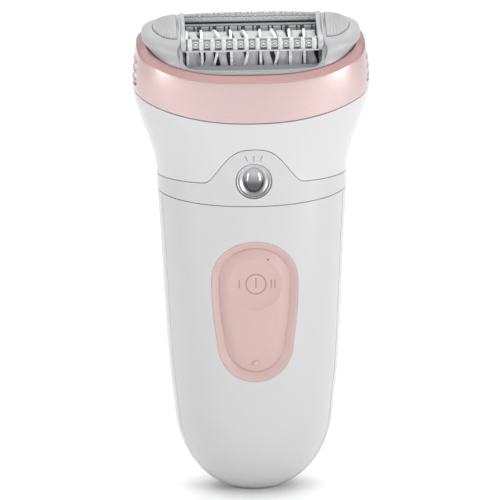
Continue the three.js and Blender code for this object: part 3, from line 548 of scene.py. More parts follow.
top = HANDLE_TOP - SEAM
corner_z = top
for _ in range(12):
    width, depth, centre, exponent = body_section(corner_z)
    sideways = (centre - PARTING_Y + SEAM) / depth
    corner_z = climbing(top, -math.asin(sideways ** (exponent / 2)))
corner_x = width * (1 - sideways**exponent) ** (1 / exponent)
corner = math.atan2(corner_z - CENTRE[1], corner_x)
angles = np.concatenate([
    np.linspace(corner, math.pi - corner, 90, endpoint=False),
    np.linspace(math.pi - corner, TAU + corner, 330, endpoint=False),
])
add_piece(
    "front_shell_skin",
    ribbon("front_shell_skin", on_rays(button_outline(BUTTON), CENTRE, angles),
           front_edge(angles, top, PARTING_Y - SEAM), wrap_front,
           wall_profile(34, WALL, 0.2, ease=1.5)),
    GLOSS_WHITE, "handle", ["front_shell"],
)


def rear_shell():
    """Rings from the inlet's hole over the base, up the outside, and back down the inside."""
    parting = PARTING_Y + SEAM
    levels = np.linspace(corner_z, 3.0, 70)
    _, depth, centre, exponent = body_section(levels)
    share = np.minimum((centre - parting) / depth, 1)
    turn = -np.arcsin(share ** (exponent / 2))
    right = np.concatenate([turn, np.linspace(turn[-1], -math.pi / 2, 26)[1:]])
    back = np.linspace(right[0], math.pi - right[0], 150)[1:-1]
    angles = np.concatenate([back, math.pi - right, (TAU + right[::-1])[1:]])
    near, far = np.full(len(angles), 0.0), climbing(top, angles)
    for _ in range(40):
        middle = (near + far) / 2
        behind = body_at(angles, middle)[:, 1] > parting
        near, far = np.where(behind, middle, near), np.where(behind, far, middle)
    edge = near
    rings = []
    hole = np.stack([np.cos(angles), np.sin(angles)], 1)
    hole = bent(hole, 6) * (INLET[0] + INLET[2] + 0.3, INLET[1] + INLET[2] + 0.3)
    hole[:, 1] += BODY[0, 3]
    foot = body_at(angles, 0)

    def base(share, z):
        flat = hole + (foot[:, :2] - hole) * share
        return np.column_stack([flat, np.full(len(angles), z)])

    rings += [base(0, 2.2), base(0, 0.3), base(0.05, 0), base(0.5, 0), base(0.94, 0)]
    shares = [0.004, 0.012, 0.03, 0.06, 0.1, 0.15] + list(np.linspace(0.2, 1, 40)[:-1])
    for share in shares:
        rings.append(body_at(angles, edge * share))
    for turn in np.linspace(0, math.pi / 2, 5):
        drop = np.minimum(0.28, edge * 0.1) * (1 - math.sin(turn))
        rings.append(body_at(angles, edge - drop, 0.28 * (1 - math.cos(turn))))
    rings.append(body_at(angles, edge, WALL))
    for share in (0.8, 0.6, 0.4, 0.2, 0.1):
        rings.append(body_at(angles, edge * share + 2.2 * (1 - share), WALL))
    rings.append(base(0.75, 2.2))
    return ring_mesh("rear_shell_skin", rings)


add_piece("rear_shell_skin", rear_shell(), GLOSS_WHITE, "handle", ["rear_shell"])

around = np.linspace(-math.pi / 2, 1.5 * math.pi, 300, endpoint=False)


def outline_at(heights):
    return np.stack([around, np.broadcast_to(heights, around.shape)], 1)


band = add_piece(
    "light_band_skin",
    ribbon("light_band_skin", outline_at(climbing(HANDLE_TOP + SEAM, around)),
           outline_at(bell(around) - SEAM),
           wrap_body, wall_profile(22, WALL, 0.2)),
    GLOSS_WHITE, "handle", ["light_band"],
)
light_hole = turned("light_hole", [(LIGHT_RADIUS + 0.22, -30), (LIGHT_RADIUS + 0.22, -6)], 96)
cut_away(band, moved(light_hole, 0, 0, LIGHT_Z))
add_piece(
    "neck_shell_skin",
    ribbon("neck_shell_skin", outline_at(bell(around) + SEAM),
           outline_at(saddle(COLLAR_BOTTOM, around) - SEAM), wrap_body,
           wall_profile(36, WALL, 0.2)),
    NECK_WHITE, "handle", ["neck_shell"],
)

collar_profile = (
    roll("a", 0.35, COLLAR_WALL)[::-1]
    + [("f", s, 0) for s in np.linspace(0.03, 0.97, 22)]
    + [("b", 1.95, 0), ("b", 1.78, 0.03), ("b", 1.62, 0.14), ("b", 1.1, 0.82), ("b", 0.55, 1.55),
       ("b", 0.18, 2.05), ("b", 0.04, 2.22), ("b", 0, 2.34), ("b", 0, COLLAR_WALL)]
    + [("f", s, COLLAR_WALL) for s in (0.8, 0.6, 0.4, 0.2)]
)
PAINTED_SHADE_RIM_ROWS = (len(roll("a", 0.35, COLLAR_WALL)) + 24, len(collar_profile) - 4)
collar = add_piece(
    "collar_skin",
    ribbon("collar_skin", outline_at(saddle(COLLAR_BOTTOM, around) + SEAM),
           outline_at(saddle(COLLAR_TOP, around)), wrap_body, collar_profile, margin=2.0),
    METAL_PINK, "handle", ["collar"],
)


def rounded_box(low, high, radius, steps=6):
    """Outline of a rounded rectangle between two corners."""
    points = []
    for x, y, turn in ((high[0], high[1], 0), (low[0], high[1], 1), (low[0], low[1], 2),
                       (high[0], low[1], 3)):
        for i in range(steps + 1):
            angle = (turn + i / steps) * math.pi / 2
            inward = (math.copysign(radius, x - sum((low[0], high[0])) / 2),
                      math.copysign(radius, y - sum((low[1], high[1])) / 2))
            points.append((x - inward[0] + radius * math.cos(angle),
                           y - inward[1] + radius * math.sin(angle)))
    return points


# The chamfer rows take the darker rim material: painted shade on the chamfer.
collar.data.materials.append(RIM_PINK_PAINTED_SHADE)
slices = len(around)
for polygon in collar.data.polygons:
    if PAINTED_SHADE_RIM_ROWS[0] <= polygon.vertices[0] // slices < PAINTED_SHADE_RIM_ROWS[1]:
        polygon.material_index = 1

front, back, low, high = RELEASE
gap = 0.28
window = rounded_box((front - gap, low - gap), (back + gap, high + gap), 1.3)
cut_away(collar, *[
    prism("release_window", window, *sorted((side * 25, side * 45)),
          lambda a, b, depth: (depth, a, b))
    for side in (-1, 1)
])


def side_at(side, y, z, inset):
    """Points of one side of the body's skin by y and height."""
    width, depth, centre, exponent = body_section(z)
    share = np.clip(np.abs(y - centre) / (depth - inset), 0, 1)
    return np.stack([side * (width - inset) * (1 - share**exponent) ** (1 / exponent), y, z], -1)


def release_button(side):
    """A plate in the collar's window, with three finger ridges."""
    corner, edge = 1.1, 0.35
    front, back, low, high = RELEASE
    middle, half = (front + back) / 2, (back - front) / 2
    rings = []
    for z in np.concatenate([low + edge * np.array([0, 0.15, 0.5, 1]),
                             np.linspace(low + 0.5, high - 0.5, 60),
                             high - edge * np.array([1, 0.5, 0.15, 0])]):
        ends = min(z - low, high - z)
        narrow = corner - math.sqrt(max(0, corner**2 - max(0, corner - ends) ** 2))
        across = np.linspace(-1, 1, 41)
        y = middle + across * (half - narrow)
        sunk = 0.42 + 0.25 * (1 - min(1, ends / edge)) ** 2
        rise = sum(math.exp(-((z - ridge) / 0.62) ** 4) for ridge in RIDGES)
        taper = np.clip((half - 0.9 - np.abs(y - middle)) / 0.9, 0, 1)
        rim = np.clip(1 - (half - narrow - np.abs(y - middle)) / edge, 0, 1) ** 2 * 0.25
        outer_row = side_at(side, y, np.full(41, z), sunk + rim - 0.57 * rise * taper**0.5)
        inner_row = side_at(side, y[::-1], np.full(41, z), 2.9)
        rings.append(np.vstack([outer_row, inner_row]))
    return ring_mesh("release_button", rings, closed=False, caps=True)


for name, side in (("left", -1), ("right", 1)):
    add_piece(f"release_{name}_grip", release_button(side), METAL_PINK, f"release_{name}",
              [f"release_button_{name}"])

# ---- Push button --------------------------------------------------------------------------------

outer, inner = button_outline(BUTTON, 0.02), button_outline(PANEL, 0)
bezel_profile = (
    [("a", 0, 2.6), ("a", 0, 0.12), ("a", 0.1, 0.04), ("a", 0.25, 0.08)]
    + [("f", s, 0.1 + 1.5 * s**1.1) for s in np.linspace(0.02, 0.98, 12)]
    + [("b", 0.1, 1.64), ("b", 0, 1.68), ("b", 0, 2.6)]
)
add_piece(
    "switch_bezel_skin",
    ribbon("switch_bezel_skin", outer, inner, wrap_front, bezel_profile, margin=0.3),
    SOFT_PINK, "handle", ["switch_bezel"],
)


def panel_inset(spot):
    """Depth of the panel under the skin: crowned, with a dish near its top."""
    middle = (PANEL[0] + PANEL[1]) / 2
    shoulder = PANEL[1] - PANEL[2]
    half = PANEL[2] - BUTTON_TAPER * np.clip((shoulder - spot[:, 1]) / 20, 0, 1)
    across = np.abs(spot[:, 0]) / half
    along_z = np.abs(spot[:, 1] - middle) / (PANEL[1] - middle)
    edge = (across**2.8 + along_z**2.8) ** (1 / 2.8)
    reach = np.hypot(spot[:, 0], spot[:, 1] - DISH_Z) / DISH_RADIUS
    return (0.5 + 1.1 * np.clip((edge - 0.7) / 0.3, 0, 1) ** 2
            + 1.15 * np.clip(1 - reach**5, 0, 1))


panel = button_outline(PANEL, 0.015)
dish_centre = np.array([0, DISH_Z])
circle = panel - dish_centre
circle = dish_centre + circle / np.linalg.norm(circle, axis=1, keepdims=True) * (DISH_RADIUS + 0.9)
rings = []
for share, drop in ((1, 2.3), (1, 1.7)):
    rings.append(wrap_front(CENTRE + (panel - CENTRE) * share, drop))
for step in np.linspace(0.02, 1, 34):
    spot = panel + (circle - panel) * step
    rings.append(wrap_front(spot, panel_inset(spot)))
for radius in np.linspace(DISH_RADIUS + 0.7, 0.05, 40):
    spot = dish_centre + (circle - dish_centre) / (DISH_RADIUS + 0.9) * radius
    rings.append(wrap_front(spot, panel_inset(spot)))
add_piece(
    "power_button_panel",
    ring_mesh("power_button_panel", rings[::-1], closed=False, caps=True),
    SOFT_PINK, "power_button", ["power_button"],
)


def inlay(name, path, width, inset, closed=False):
    """A thin printed line along a path of (x, z) points, just proud of the surface under it."""
    path = np.array(path, float)
    if closed:
        ahead = np.roll(path, -1, 0) - np.roll(path, 1, 0)
    else:
        ahead = np.gradient(path, axis=0)
    ahead /= np.linalg.norm(ahead, axis=1, keepdims=True)
    across = np.stack([ahead[:, 1], -ahead[:, 0]], 1) * width / 2
    rows = []
    for offset, drop in ((1, 0.15), (1, -0.03), (0.6, -0.07), (-0.6, -0.07), (-1, -0.03),
                         (-1, 0.15)):
        spot = path + across * offset
        rows.append(wrap_front(spot, inset(spot) + drop))
    rows = np.stack(rows, 1)
    if closed:
        return ring_mesh(name, rows.transpose(1, 0, 2))
    return ring_mesh(name, rows, closed=False, caps=True)


def circle_path(x, z, radius, count=64):
    turn = np.linspace(0, TAU, count, endpoint=False)
    return np.stack([x + radius * np.cos(turn), z + radius * np.sin(turn)], 1)


def line_path(x0, z0, x1, z1, count=9):
    return np.linspace((x0, z0), (x1, z1), count)


MARK = 0.34
add_piece("power_mark", merged("power_mark", [
    inlay("ring", circle_path(0.35, DISH_Z, 3.1), MARK, panel_inset, closed=True),
    inlay("bar", line_path(0.35, DISH_Z - 1.2, 0.35, DISH_Z + 1.9), MARK, panel_inset),
]), MARK_PINK, "power_button")
add_piece(
    "speed_mark_one",
    inlay("speed_mark_one", line_path(-4.8, DISH_Z - 1.2, -4.8, DISH_Z + 1.3), MARK, panel_inset),
    MARK_PINK, "power_button",
)
add_piece("speed_mark_two", merged("speed_mark_two", [
    inlay("bar", line_path(x, DISH_Z - 1.2, x, DISH_Z + 1.3), MARK, panel_inset)
    for x in (5.1, 6.2)
]), MARK_PINK, "power_button")


def dome(name, x, z, radius, height, inset, segments=24):
    """A small round bump on the body's front."""
    rings = []
    for reach, rise in ((1, -0.5), (1, 0), (0.95, 0.35), (0.8, 0.65), (0.55, 0.88), (0.25, 0.98),
                        (0.02, 1)):
        spot = circle_path(x, z, radius * reach, segments)
        rings.append(wrap_front(spot, inset(spot) - rise * height))
    return ring_mesh(name, rings[::-1], closed=False, caps=True)


add_piece(
    "charge_indicator_dome",
    dome("charge_indicator_dome", 0, INDICATOR_Z, 0.95, 0.8, panel_inset),
    SOFT_PINK, "power_button", ["charge_indicator"],
)
add_piece("status_dot", dome("status_dot", 4.1, 77.3, 0.26, 0.06, panel_inset), DARK,
          "power_button")

# ---- Work light ---------------------------------------------------------------------------------

light_face = front_at(0, LIGHT_Z)[1]


def oval(name, outline, segments=72):
    """A turned form with its own width and height at each step: (width, height, depth)."""
    turn = np.linspace(0, TAU, segments, endpoint=False)
    rings = [np.stack([w * np.cos(turn), np.full(segments, light_face + d),
                       LIGHT_Z + h * np.sin(turn)], -1) for w, h, d in outline]
    return ring_mesh(name, rings, closed=False, caps=True)


R = LIGHT_RADIUS
add_piece("light_surround", oval("light_surround", [
    (0.2, 0.2, 4.4), (R * 0.9, R * 0.9, 4.4), (R, R, 4.0), (R, R, 0.4),
    (R * 0.985, R * 0.985, 0.28),
    (R * 0.96, R * 0.96, 0.26), (R * 0.9, R * 0.93, 0.5), (R * 0.84, R * 0.92, 1.0),
    (R * 0.8, R * 0.9, 1.2), (R * 0.74, R * 0.85, 1.3), (R * 0.6, R * 0.7, 1.9), (0.1, 0.1, 2.4),
][::-1]), SILVER_PAINTED_LIGHT, "handle", ["light_reflector"])
bulb = [(3.2 * math.cos(t), 4.1 * math.cos(t), 2.2 - 2.1 * math.sin(t))
        for t in np.linspace(0, math.pi / 2 - 0.03, 14)]
add_piece("light_bulb", oval("light_bulb", [(3.0, 3.9, 2.9)] + bulb), BULB_PAINTED_LIGHT, "handle",
          ["light_lens"])


def flush(spot):
    return np.zeros(len(spot))


add_piece("ray_marks", merged("ray_marks", [
    inlay("ray", line_path(x - lean, 109.0, x + lean, 110.7), 0.3, flush)
    for x, lean in ((-2.3, -0.35), (0, 0), (2.3, 0.35))
]), MARK_GREY, "handle")

# ---- Head ---------------------------------------------------------------------------------------


def head_skin():
    """The head's white outer wall, from inside the collar up to the edge of its window."""
    count = 420
    angles = np.linspace(0, TAU, count, endpoint=False)
    near, far = np.full(count, -4.0), np.full(count, HEAD[-1, 0])
    half, corner = WINDOW["half"], WINDOW["corner"]
    for _ in range(36):
        middle = (near + far) / 2
        spot = head_at(angles, middle, 0.1)
        x, y, z = spot[:, 0], spot[:, 1], spot[:, 2]
        over = np.clip(np.abs(x) - (half - corner), 0, corner)
        sill = WINDOW["sill"] + corner - np.sqrt(corner**2 - over**2)
        open_front = (y < -6) & (z > sill)
        inside = (np.abs(x) < half) & (y < WINDOW["back"]) & ((y > -6) | open_front)
        near, far = np.where(inside, near, middle), np.where(inside, middle, far)
    edge = near
    rings = [head_at(angles, -9.0, -0.9), head_at(angles, -9.0, 0.1)]
    for share in np.linspace(0.12, 1, 44)[:-1]:
        rings.append(head_at(angles, -9 + (edge + 9) * share, 0.1))
    for turn in np.linspace(0, math.pi / 2, 5):
        lowered = edge - 0.22 * (1 - math.sin(turn))
        rings.append(head_at(angles, lowered, 0.1 - 0.22 * (1 - math.cos(turn))))
    rings.append(head_at(angles, edge, -0.5))
    rings.append(head_at(angles, edge - 0.3, -0.9))
    for share in (0.75, 0.5, 0.25):
        rings.append(head_at(angles, -9 + (edge + 9) * share, -0.9))
    return ring_mesh("head_skin", rings)


add_piece("head_skin", head_skin(), CAP_WHITE, "head", on_head=True)


def head_top(x, y):
    """Height of the head's skin over points of its own plan."""
    x, y = np.broadcast_arrays(np.asarray(x, float), np.asarray(y, float))
    near, far = np.full(x.shape, 3.4), np.full(x.shape, float(HEAD[-1, 0]))
    for _ in range(34):
        middle = (near + far) / 2
        front, back, half, exponent = (along(HEAD, middle, k) for k in (1, 2, 3, 4))
        inside = (
            np.abs(x / half) ** exponent
            + np.abs((y - (front + back) / 2) / ((back - front) / 2)) ** exponent
        ) < 1
        near, far = np.where(inside, middle, near), np.where(inside, far, middle)
    return near


PAD = {"inner": 22.9, "bulge": 32.6, "front": -11.3, "back": 5.7}
pad_hub = np.array([PAD["inner"], (PAD["front"] + PAD["back"]) / 2])


def pad_arc(share, count):
    """Points along one of the pad's arcs; share 1 is its outer edge."""
    t = np.linspace(0, 1, count)[:, None]
    ends = [np.array(p) for p in (
        (PAD["inner"], PAD["front"]), (PAD["bulge"], PAD["front"] + 0.7),
        (PAD["bulge"], PAD["back"] - 0.7), (PAD["inner"], PAD["back"]))]
    arc = (ends[0] * (1 - t) ** 3 + 3 * ends[1] * t * (1 - t) ** 2
           + 3 * ends[2] * t**2 * (1 - t) + ends[3] * t**3)
    return pad_hub + (arc - pad_hub) * share


def pad_outline(grow, count=90):
    arc = pad_arc(1, count)
    straight = np.linspace(arc[-1], arc[0], 22)[1:-1]
    loop = np.vstack([arc, straight])
    middle = np.array([PAD["inner"] + 3.2, pad_hub[1]])
    reach = loop - middle
    return middle + reach * (1 + grow / np.linalg.norm(reach, axis=1, keepdims=True)), middle


def pad_body(name, side, grow, rows):
    """A thin plate over the head's skin; rows are (share of the outline, height over the skin)."""
    loop, middle = pad_outline(grow)
    rings = []
    for share, rise in rows:
        spot = middle + (loop - middle) * share
        z = head_top(spot[:, 0], spot[:, 1]) + rise
        rings.append(np.column_stack([side * spot[:, 0], spot[:, 1], z]))
    if side < 0:
        rings = [ring[::-1] for ring in rings]
    return ring_mesh(name, rings[::-1], closed=False, caps=True)


def pad_dots(name, side):
    """Small domes in arcs over the pad."""
    dots = []
    for row in range(9):
        share = 0.935 - row * 0.098
        length = np.linalg.norm(np.diff(pad_arc(share, 60), axis=0), axis=1).sum()
        count = max(3, int(length / 0.98))
        arc = pad_arc(share, count * 2 + 1)[1::2]
        for x, y in arc[(arc[:, 0] > PAD["inner"] + 0.7)]:
            turn = np.linspace(0, TAU, 8, endpoint=False)
            rings = []
            for reach, rise in ((0.3, 0.45), (0.3, 0.6), (0.22, 0.72), (0.09, 0.78)):
                px, py = x + reach * np.cos(turn), y + reach * np.sin(turn)
                rings.append(np.column_stack([side * px, py, head_top(px, py) + rise]))
            if side < 0:
                rings = [ring[::-1] for ring in rings]
            dots.append(ring_mesh("dot", rings, closed=False, caps=True))
    return merged(name, dots)


for name, side in (("left", -1), ("right", 1)):
    add_piece(f"pad_gasket_{name}", pad_body(f"pad_gasket_{name}", side, 0.22, [
        (1, -0.3), (1, 0.14), (0.985, 0.2), (0.9, 0.2), (0.5, 0.2), (0.05, 0.2)]),
        GREY, "head", on_head=True)
    add_piece(f"pad_plate_{name}", pad_body(f"pad_plate_{name}", side, 0, [
        (1, 0.1), (1, 0.38), (0.99, 0.5), (0.965, 0.56)]
        + [(s, 0.56) for s in (0.9, 0.75, 0.6, 0.45, 0.3, 0.15, 0.03)]),
        PAD_WHITE, "head", [f"pad_{name}"], on_head=True)
    add_piece(f"pad_dots_{name}", pad_dots(f"pad_dots_{name}", side), DOT_WHITE, "head",
              on_head=True)

# ---- Contact frame and massage rollers ----------------------------------------------------------


def upright(outline, low, high):
    """A plate across X from an outline in Y and Z."""
    return prism("plate", outline, low, high, lambda a, b, depth: (depth, a, b))


def rail_outline():
    front, back, low, high = FRAME_FRONT, FRAME_BACK, FRAME_LOW, FRAME_HIGH
    return ([(front + 1.5, low), (back, low + 1.2), (back, high)]
            + [tuple(p) for p in
               bezier([(back, high), (-2, high + 0.6), (front + 1.8, low + 4)], 10)[1:]]
            + [tuple(p) for p in
               bezier([(front + 1.8, low + 4), (front, low + 3.3), (front, low + 1.7)], 6)]
            + [tuple(p) for p in
               bezier([(front, low + 1.7), (front, low), (front + 1.5, low)], 6)])


rails = []
for side in (-1, 1):
    xs = sorted((side * FRAME_HALF, side * (FRAME_HALF - FRAME_BAR)))
    rails.append(upright(rail_outline(), *xs))
bevel(add_piece("frame_rails", merged("frame_rails", rails), RAIL, "contact_cap",
                ["contact_frame"], on_head=True), 0.38)

inner = FRAME_HALF - FRAME_BAR + 0.3
low, shelf = FRAME_LOW + 0.1, FRAME_SHELF
front_bar = [
    upright([(FRAME_FRONT + 0.5, low), (-10.6, low), (-10.6, low + 0.5),
             (FRAME_FRONT + 0.5, low + 0.5)], -inner, inner),
    upright([(-11.05, low), (-10.5, low), (-10.5, low + 3.4), (-11.05, low + 3.4)],
            -inner, inner),
]
bevel(add_piece("frame_front_bar", merged("frame_front_bar", front_bar), PEARL, "contact_cap",
                on_head=True), 0.15)

rear_bar = [
    upright([(5.95, shelf - 0.1), (FRAME_BACK - 0.1, shelf - 0.1), (FRAME_BACK - 0.1, shelf + 0.35),
             (5.95, shelf + 0.35)], -inner, inner),
    upright([(5.65, shelf + 0.35), (6.05, shelf), (6.2, shelf + 1.35), (5.85, shelf + 1.5)],
            -inner, inner),
    upright([(FRAME_BACK - 0.4, shelf), (FRAME_BACK, shelf), (FRAME_BACK, shelf + 0.9),
             (FRAME_BACK - 0.4, shelf + 0.9)], -inner, inner),
]
bevel(add_piece("frame_rear_bar", merged("frame_rear_bar", rear_bar), PEARL, "contact_cap",
                on_head=True), 0.12)


def lobe(x, width, y, z, depth, height):
    """A rounded upright lobe between two rollers."""
    turn = np.linspace(0, TAU, 20, endpoint=False)
    rings = []
    for share, across in ((0.4, -1), (0.85, -0.75), (1, -0.35), (1, 0.35), (0.85, 0.75), (0.4, 1)):
        rings.append(np.column_stack([
            np.full(20, x + across * width / 2),
            y + bent(np.cos(turn), 3.2) * depth / 2 * share,
            z + bent(np.sin(turn), 3.2) * height / 2 * share]))
    return ring_mesh("lobe", rings, closed=False, caps=True)


def divider_spots(row):
    return [(i - row["count"] / 2) * row["pitch"] for i in range(row["count"] + 1)]


front_lobes = [lobe(x, 1.75, FRONT_ROLLER["y"], FRONT_ROLLER["z"] - 0.1, 2.7, 3.7)
               for x in divider_spots(FRONT_ROLLER)]
add_piece("frame_front_lobes", merged("frame_front_lobes", front_lobes), PEARL, "contact_cap",
          on_head=True)
rear_lobes = [lobe(x, 0.6, REAR_ROLLER["y"], REAR_ROLLER["z"] + 0.15, 1.5, 1.8)
              for x in divider_spots(REAR_ROLLER)]
rear_studs = [lobe(x + shift, 0.42, 5.62 + 0.1 * rise, shelf + rise, 0.42, 0.42)
              for x in divider_spots(REAR_ROLLER)
              for shift, rise in ((-0.86, 1.15), (0.86, 1.15), (0, 0.65), (1.73, 0.65))
              if abs(x + shift) < inner - 0.6]
add_piece("frame_rear_lobes", merged("frame_rear_lobes", rear_lobes + rear_studs), PEARL,
          "contact_cap", on_head=True)


def ribbed_roller(x, row):
    """One massage roller: a drum crossed by two families of grooves, whose faces take a dark
    material as painted shade.
    """
    around, across = 72, 19
    turn = np.linspace(0, TAU, around, endpoint=False)
    rings, groove_shade_rows = [], []
    for i in range(across):
        u = i / (across - 1)
        swing = TAU / 6 * (u - 0.5) * 0.8
        lines = np.maximum(np.cos(6 * (turn + swing)), np.cos(6 * (turn - swing)))
        groove = np.clip((lines - 0.8) / 0.15, 0, 1)
        end = 1 - 0.12 * abs(2 * u - 1) ** 6
        radius = row["radius"] * end * (0.99 - 0.2 * groove)
        groove_shade_rows.append(groove)
        rings.append(np.column_stack([np.full(around, x + (u - 0.5) * row["width"]),
                                      row["y"] + radius * np.cos(turn),
                                      row["z"] + radius * np.sin(turn)]))
    mesh = ring_mesh("roller", rings, closed=False, caps=True)
    # Faces deep in the grooves get the second, dark material: painted shade in the grooves.
    groove_shade_mask = np.concatenate(groove_shade_rows)
    for polygon in mesh.polygons:
        if len(polygon.vertices) == 4 and groove_shade_mask[list(polygon.vertices)].mean() > 0.45:
            polygon.material_index = 1
    return mesh


for name, row in (("front", FRONT_ROLLER), ("rear", REAR_ROLLER)):
    spots = [(i - (row["count"] - 1) / 2) * row["pitch"] for i in range(row["count"])]
    axle = turned("axle", [(0.42, -inner), (0.42, inner)], 20, "X")
    rollers = add_piece(f"{name}_rollers", merged(f"{name}_rollers", [
        *[ribbed_roller(x, row) for x in spots], moved(axle, 0, row["y"], row["z"])]),
        ROLLER, f"{name}_rollers", [f"{name}_roller_set"], on_head=True)
    rollers.data.materials.append(GROOVE_PAINTED_SHADE)

# ---- Tweezer drum -------------------------------------------------------------------------------

PITCH = 2 * DRUM_HALF / WHEELS
wheel_spots = [(i - (WHEELS - 1) / 2) * PITCH for i in range(WHEELS)]


def cushion(x, facing, half, swell, tip):
    """A lobed disc whose width changes round it, so gaps open between neighbours."""
    turn = np.linspace(0, TAU, 144, endpoint=False)
    lobes = 0.5 + 0.5 * np.cos(6 * (turn - facing))
    radius = 8.1 + (tip - 8.1) * lobes**0.6
    reach = half + swell * np.cos(3 * (turn - facing) + x)
    lean = 0.35 * np.sin(6 * (turn - facing) + 0.5 * x)
    rings = []
    for across, drop in ((-1, 1.4), (-1, 0.45), (-0.93, 0.14), (-0.8, 0), (0.8, 0), (0.93, 0.14),
                         (1, 0.45), (1, 1.4)):
        r = radius - drop
        edge = np.clip(x + lean + across * reach, 0.2 - DRUM_HALF, DRUM_HALF - 0.2)
        rings.append(np.column_stack([edge, DRUM_Y + r * np.cos(turn),
                                      DRUM_Z + r * np.sin(turn)]))
    return ring_mesh("cushion", rings, closed=False, caps=True)


def tweezer_plate(x, angle, lean, tip, spread, thickness=0.5):
    """A thin plate standing out of the drum; lean carries its rear end along X."""
    outline = ([(-spread, 5.6), (spread, 5.6), (spread * 1.12, tip - 0.9)]
               + [(spread * 1.08 * math.cos(t), tip - 0.8 + 0.8 * math.sin(t))
                  for t in np.linspace(0.12, math.pi - 0.12, 9)]
               + [(-spread * 1.12, tip - 0.9)])

    def place(a, b, depth):
        return (x + depth + lean * a / spread, DRUM_Y + b * math.cos(angle) - a * math.sin(angle),
                DRUM_Z + b * math.sin(angle) + a * math.cos(angle))

    return prism("plate", outline, -thickness / 2, thickness / 2, place)


FACING = math.radians(153)
cushions, plates = [], []
for number, x in enumerate(wheel_spots):
    facing = FACING + 0.16 * math.sin(2.3 * number)
    slanted = number % 2 == 0 and 0 < number < WHEELS - 1
    cushions.append(cushion(x + 0.25, facing + 0.5, 1.62, 0.42, 8.9))
    for arm in range(6):
        angle = facing + arm * math.pi / 3
        lean = (0.75 if arm % 2 else -0.75) if slanted else 0.0
        plates.append(tweezer_plate(x - 1.75, angle, lean, 9.45, 3.0, 0.75))
core = turned("core", [(7.75, -DRUM_HALF), (7.75, DRUM_HALF)], 96, "X")
add_piece("drum_core", moved(core, 0, DRUM_Y, DRUM_Z), DARK, "drum", on_head=True)
add_piece("drum_cushions", merged("drum_cushions", cushions), DISC, "drum",
          [f"tweezer_wheel_{i + 1}" for i in range(WHEELS)], on_head=True)
bevel(add_piece("tweezer_plates", merged("tweezer_plates", plates), PLATE, "drum",
                on_head=True), 0.1, 2)

# Behind the drum the opening is closed by a guard with a bright lip, over a grey backing that is
# painted shade: a dark sheet where the opening behind the drum lies in shade.
guard_half = WINDOW["half"] - 0.5
lip = upright([(4.9, 3.2), (5.6, 3.4), (5.6, 3.95), (4.6, 3.8)], -guard_half, guard_half)
painted_shade_backing = upright([(5.05, 3.6), (5.3, 3.2), (4.8, -3.0), (4.5, -3.0)], -guard_half, guard_half)
teeth = []
for number, x in enumerate(wheel_spots):
    for shift, wide in ((-0.6, 1.15), (1.35, 0.38)):
        low_x = x + shift - wide + 0.2 * (number % 3)
        teeth.append(upright([(4.2, 3.1), (4.95, 3.5), (4.6, -3.0), (3.9, -3.0)], low_x,
                             low_x + 2 * wide))
bevel(add_piece("drum_guard_lip", merged("drum_guard_lip", [lip] + teeth), CAP_WHITE, "head",
                on_head=True), 0.12)
add_piece("drum_guard_painted_shade", painted_shade_backing, GREY, "head", on_head=True)

# ---- CAD nodes that stay ------------------------------------------------------------------------

KEPT = {
    RUBBER: ["neck_seal", "inlet_seal", "switch_membrane"],
    GREY: ["head_deck", "inner_chassis", "drum_bearing_left", "drum_bearing_right"],
    HOUSING_PAINTED_SHADE: ["head_housing"],
    DARK: ["inlet_socket", "tact_switch"],
    BOARD: ["circuit_board"],
    CELL: ["battery_cell"],
    CLEAR: ["led_chip"],
    STEEL: ["board_screw_1", "board_screw_2", "battery_tab_bottom", "battery_tab_top",
            "release_spring_left", "release_spring_right", "motor_can", "motor_plate",
            "motor_screw_1", "motor_screw_2", "motor_shaft", "crown_axle", "idler_axle",
            "drum_axle"],
    BRASS: ["inlet_pin_left", "inlet_pin_right", "motor_pinion"],
    ACETAL: ["crown_gear", "idler_gear", "drum_gear"],
}
for finish, names in KEPT.items():
    for name in names:
        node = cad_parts[name]
        node.data.materials.clear()
        node.data.materials.append(finish)
        node.data.polygons.foreach_set("use_smooth", [True] * len(node.data.polygons))
        node.data.set_sharp_from_angle(angle=math.radians(KEPT_SHARP_ANGLE))

# ---- Floor, light and camera --------------------------------------------------------------------

floor_mesh = bpy.data.meshes.new("floor")
reach = 6.0
floor_mesh.from_pydata([(-reach, -reach, 0), (reach, -reach, 0), (reach, reach, 0),
                        (-reach, reach, 0)], [], [(0, 1, 2, 3)])
floor = bpy.data.objects.new("floor", floor_mesh)
bpy.context.scene.collection.objects.link(floor)
floor.location.z = -0.0002
floor.data.materials.append(material("studio_floor", (0.93, 0.93, 0.93), 0.8, tint=0.004,
                                     spread=0.02, bump=0, specular=0.1, blotch=2.0))

world = bpy.data.worlds.new("studio")
bpy.context.scene.world = world
world.use_nodes = True
sky = world.node_tree
background = sky.nodes["Background"]
background.inputs["Color"].default_value = (1, 1, 1, 1)


def sky_ramp(value, start, end, low, high):
    step = sky.nodes.new("ShaderNodeMapRange")
    step.interpolation_type = "SMOOTHSTEP"
    for name, number in (("From Min", start), ("From Max", end), ("To Min", low), ("To Max", high)):
        step.inputs[name].default_value = number
    sky.links.new(value, step.inputs["Value"])
    return step.outputs["Result"]


def sky_math(operation, first, second=None):
    step = sky.nodes.new("ShaderNodeMath")
    step.operation = operation
    sky.links.new(first, step.inputs[0])
    if second is not None:
        sky.links.new(second, step.inputs[1])
    return step.outputs["Value"]


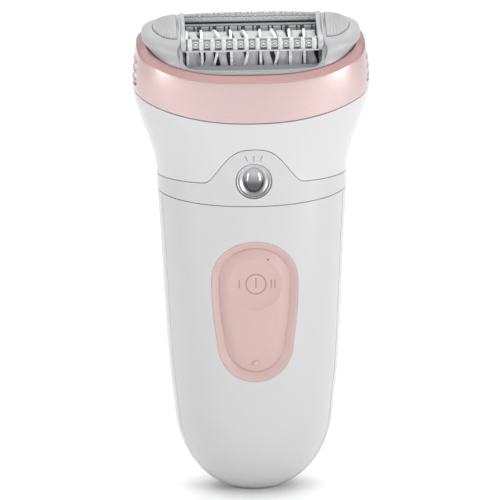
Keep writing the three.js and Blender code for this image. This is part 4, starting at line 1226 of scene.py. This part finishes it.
# The studio is brightest behind the object and dimmer at both sides.
aim_of_ray = sky.nodes.new("ShaderNodeSeparateXYZ")
sky.links.new(sky.nodes.new("ShaderNodeTexCoord").outputs["Generated"], aim_of_ray.inputs["Vector"])
sides = sky_ramp(sky_math("ABSOLUTE", aim_of_ray.outputs["X"]), 0.5, 0.95, 1, 0.45)
ahead = sky_ramp(aim_of_ray.outputs["Y"], -0.5, 0.7, 0.42, 0.8)
above = sky_ramp(aim_of_ray.outputs["Z"], 0.25, 0.8, 0.06, 0.42)
glow = sky_math("MAXIMUM", sky_math("MULTIPLY", sides, ahead), above)
sky.links.new(glow, background.inputs["Strength"])


def softbox(name, location, target, size, power):
    lamp = bpy.data.lights.new(name, "AREA")
    lamp.shape = "RECTANGLE"
    lamp.size, lamp.size_y = size
    lamp.energy = power
    box = bpy.data.objects.new(name, lamp)
    bpy.context.scene.collection.objects.link(box)
    box.location = location
    box.rotation_euler = (Vector(target) - box.location).to_track_quat("-Z", "Y").to_euler()
    return box


middle = (0, 0, 0.1)
softbox("overhead", (0, 0.3, 1.6), (0, 0.15, 0), (2.6, 2.6), 34)
softbox("front_left", (-0.42, -0.32, 0.17), middle, (0.14, 0.34), 0.9)
softbox("front_right", (0.42, -0.32, 0.17), middle, (0.14, 0.34), 1.4)

SENSOR_WIDTH = 36
VIEW_WIDTH = 0.155  # metres across the picture at the aim point
CAMERA_ROLL = math.radians(-0.6)
aim = Vector((-0.0008, 0, 0.0758))
distance, elevation, azimuth = 2.4, math.radians(15), math.radians(-2)
camera = bpy.data.objects.new("camera", bpy.data.cameras.new("camera"))
bpy.context.scene.collection.objects.link(camera)
away = Vector((math.sin(azimuth) * math.cos(elevation), -math.cos(azimuth) * math.cos(elevation),
               math.sin(elevation)))
camera.location = aim + away * distance
look = (-away).to_track_quat("-Z", "Y")
camera.rotation_euler = (look.to_matrix().to_4x4()
                         @ Matrix.Rotation(CAMERA_ROLL, 4, "Z")).to_euler()
camera.data.sensor_width = SENSOR_WIDTH
camera.data.lens = SENSOR_WIDTH * distance / VIEW_WIDTH
camera.data.clip_start = 0.05
bpy.context.scene.camera = camera
bpy.context.scene.view_settings.view_transform = "Standard"
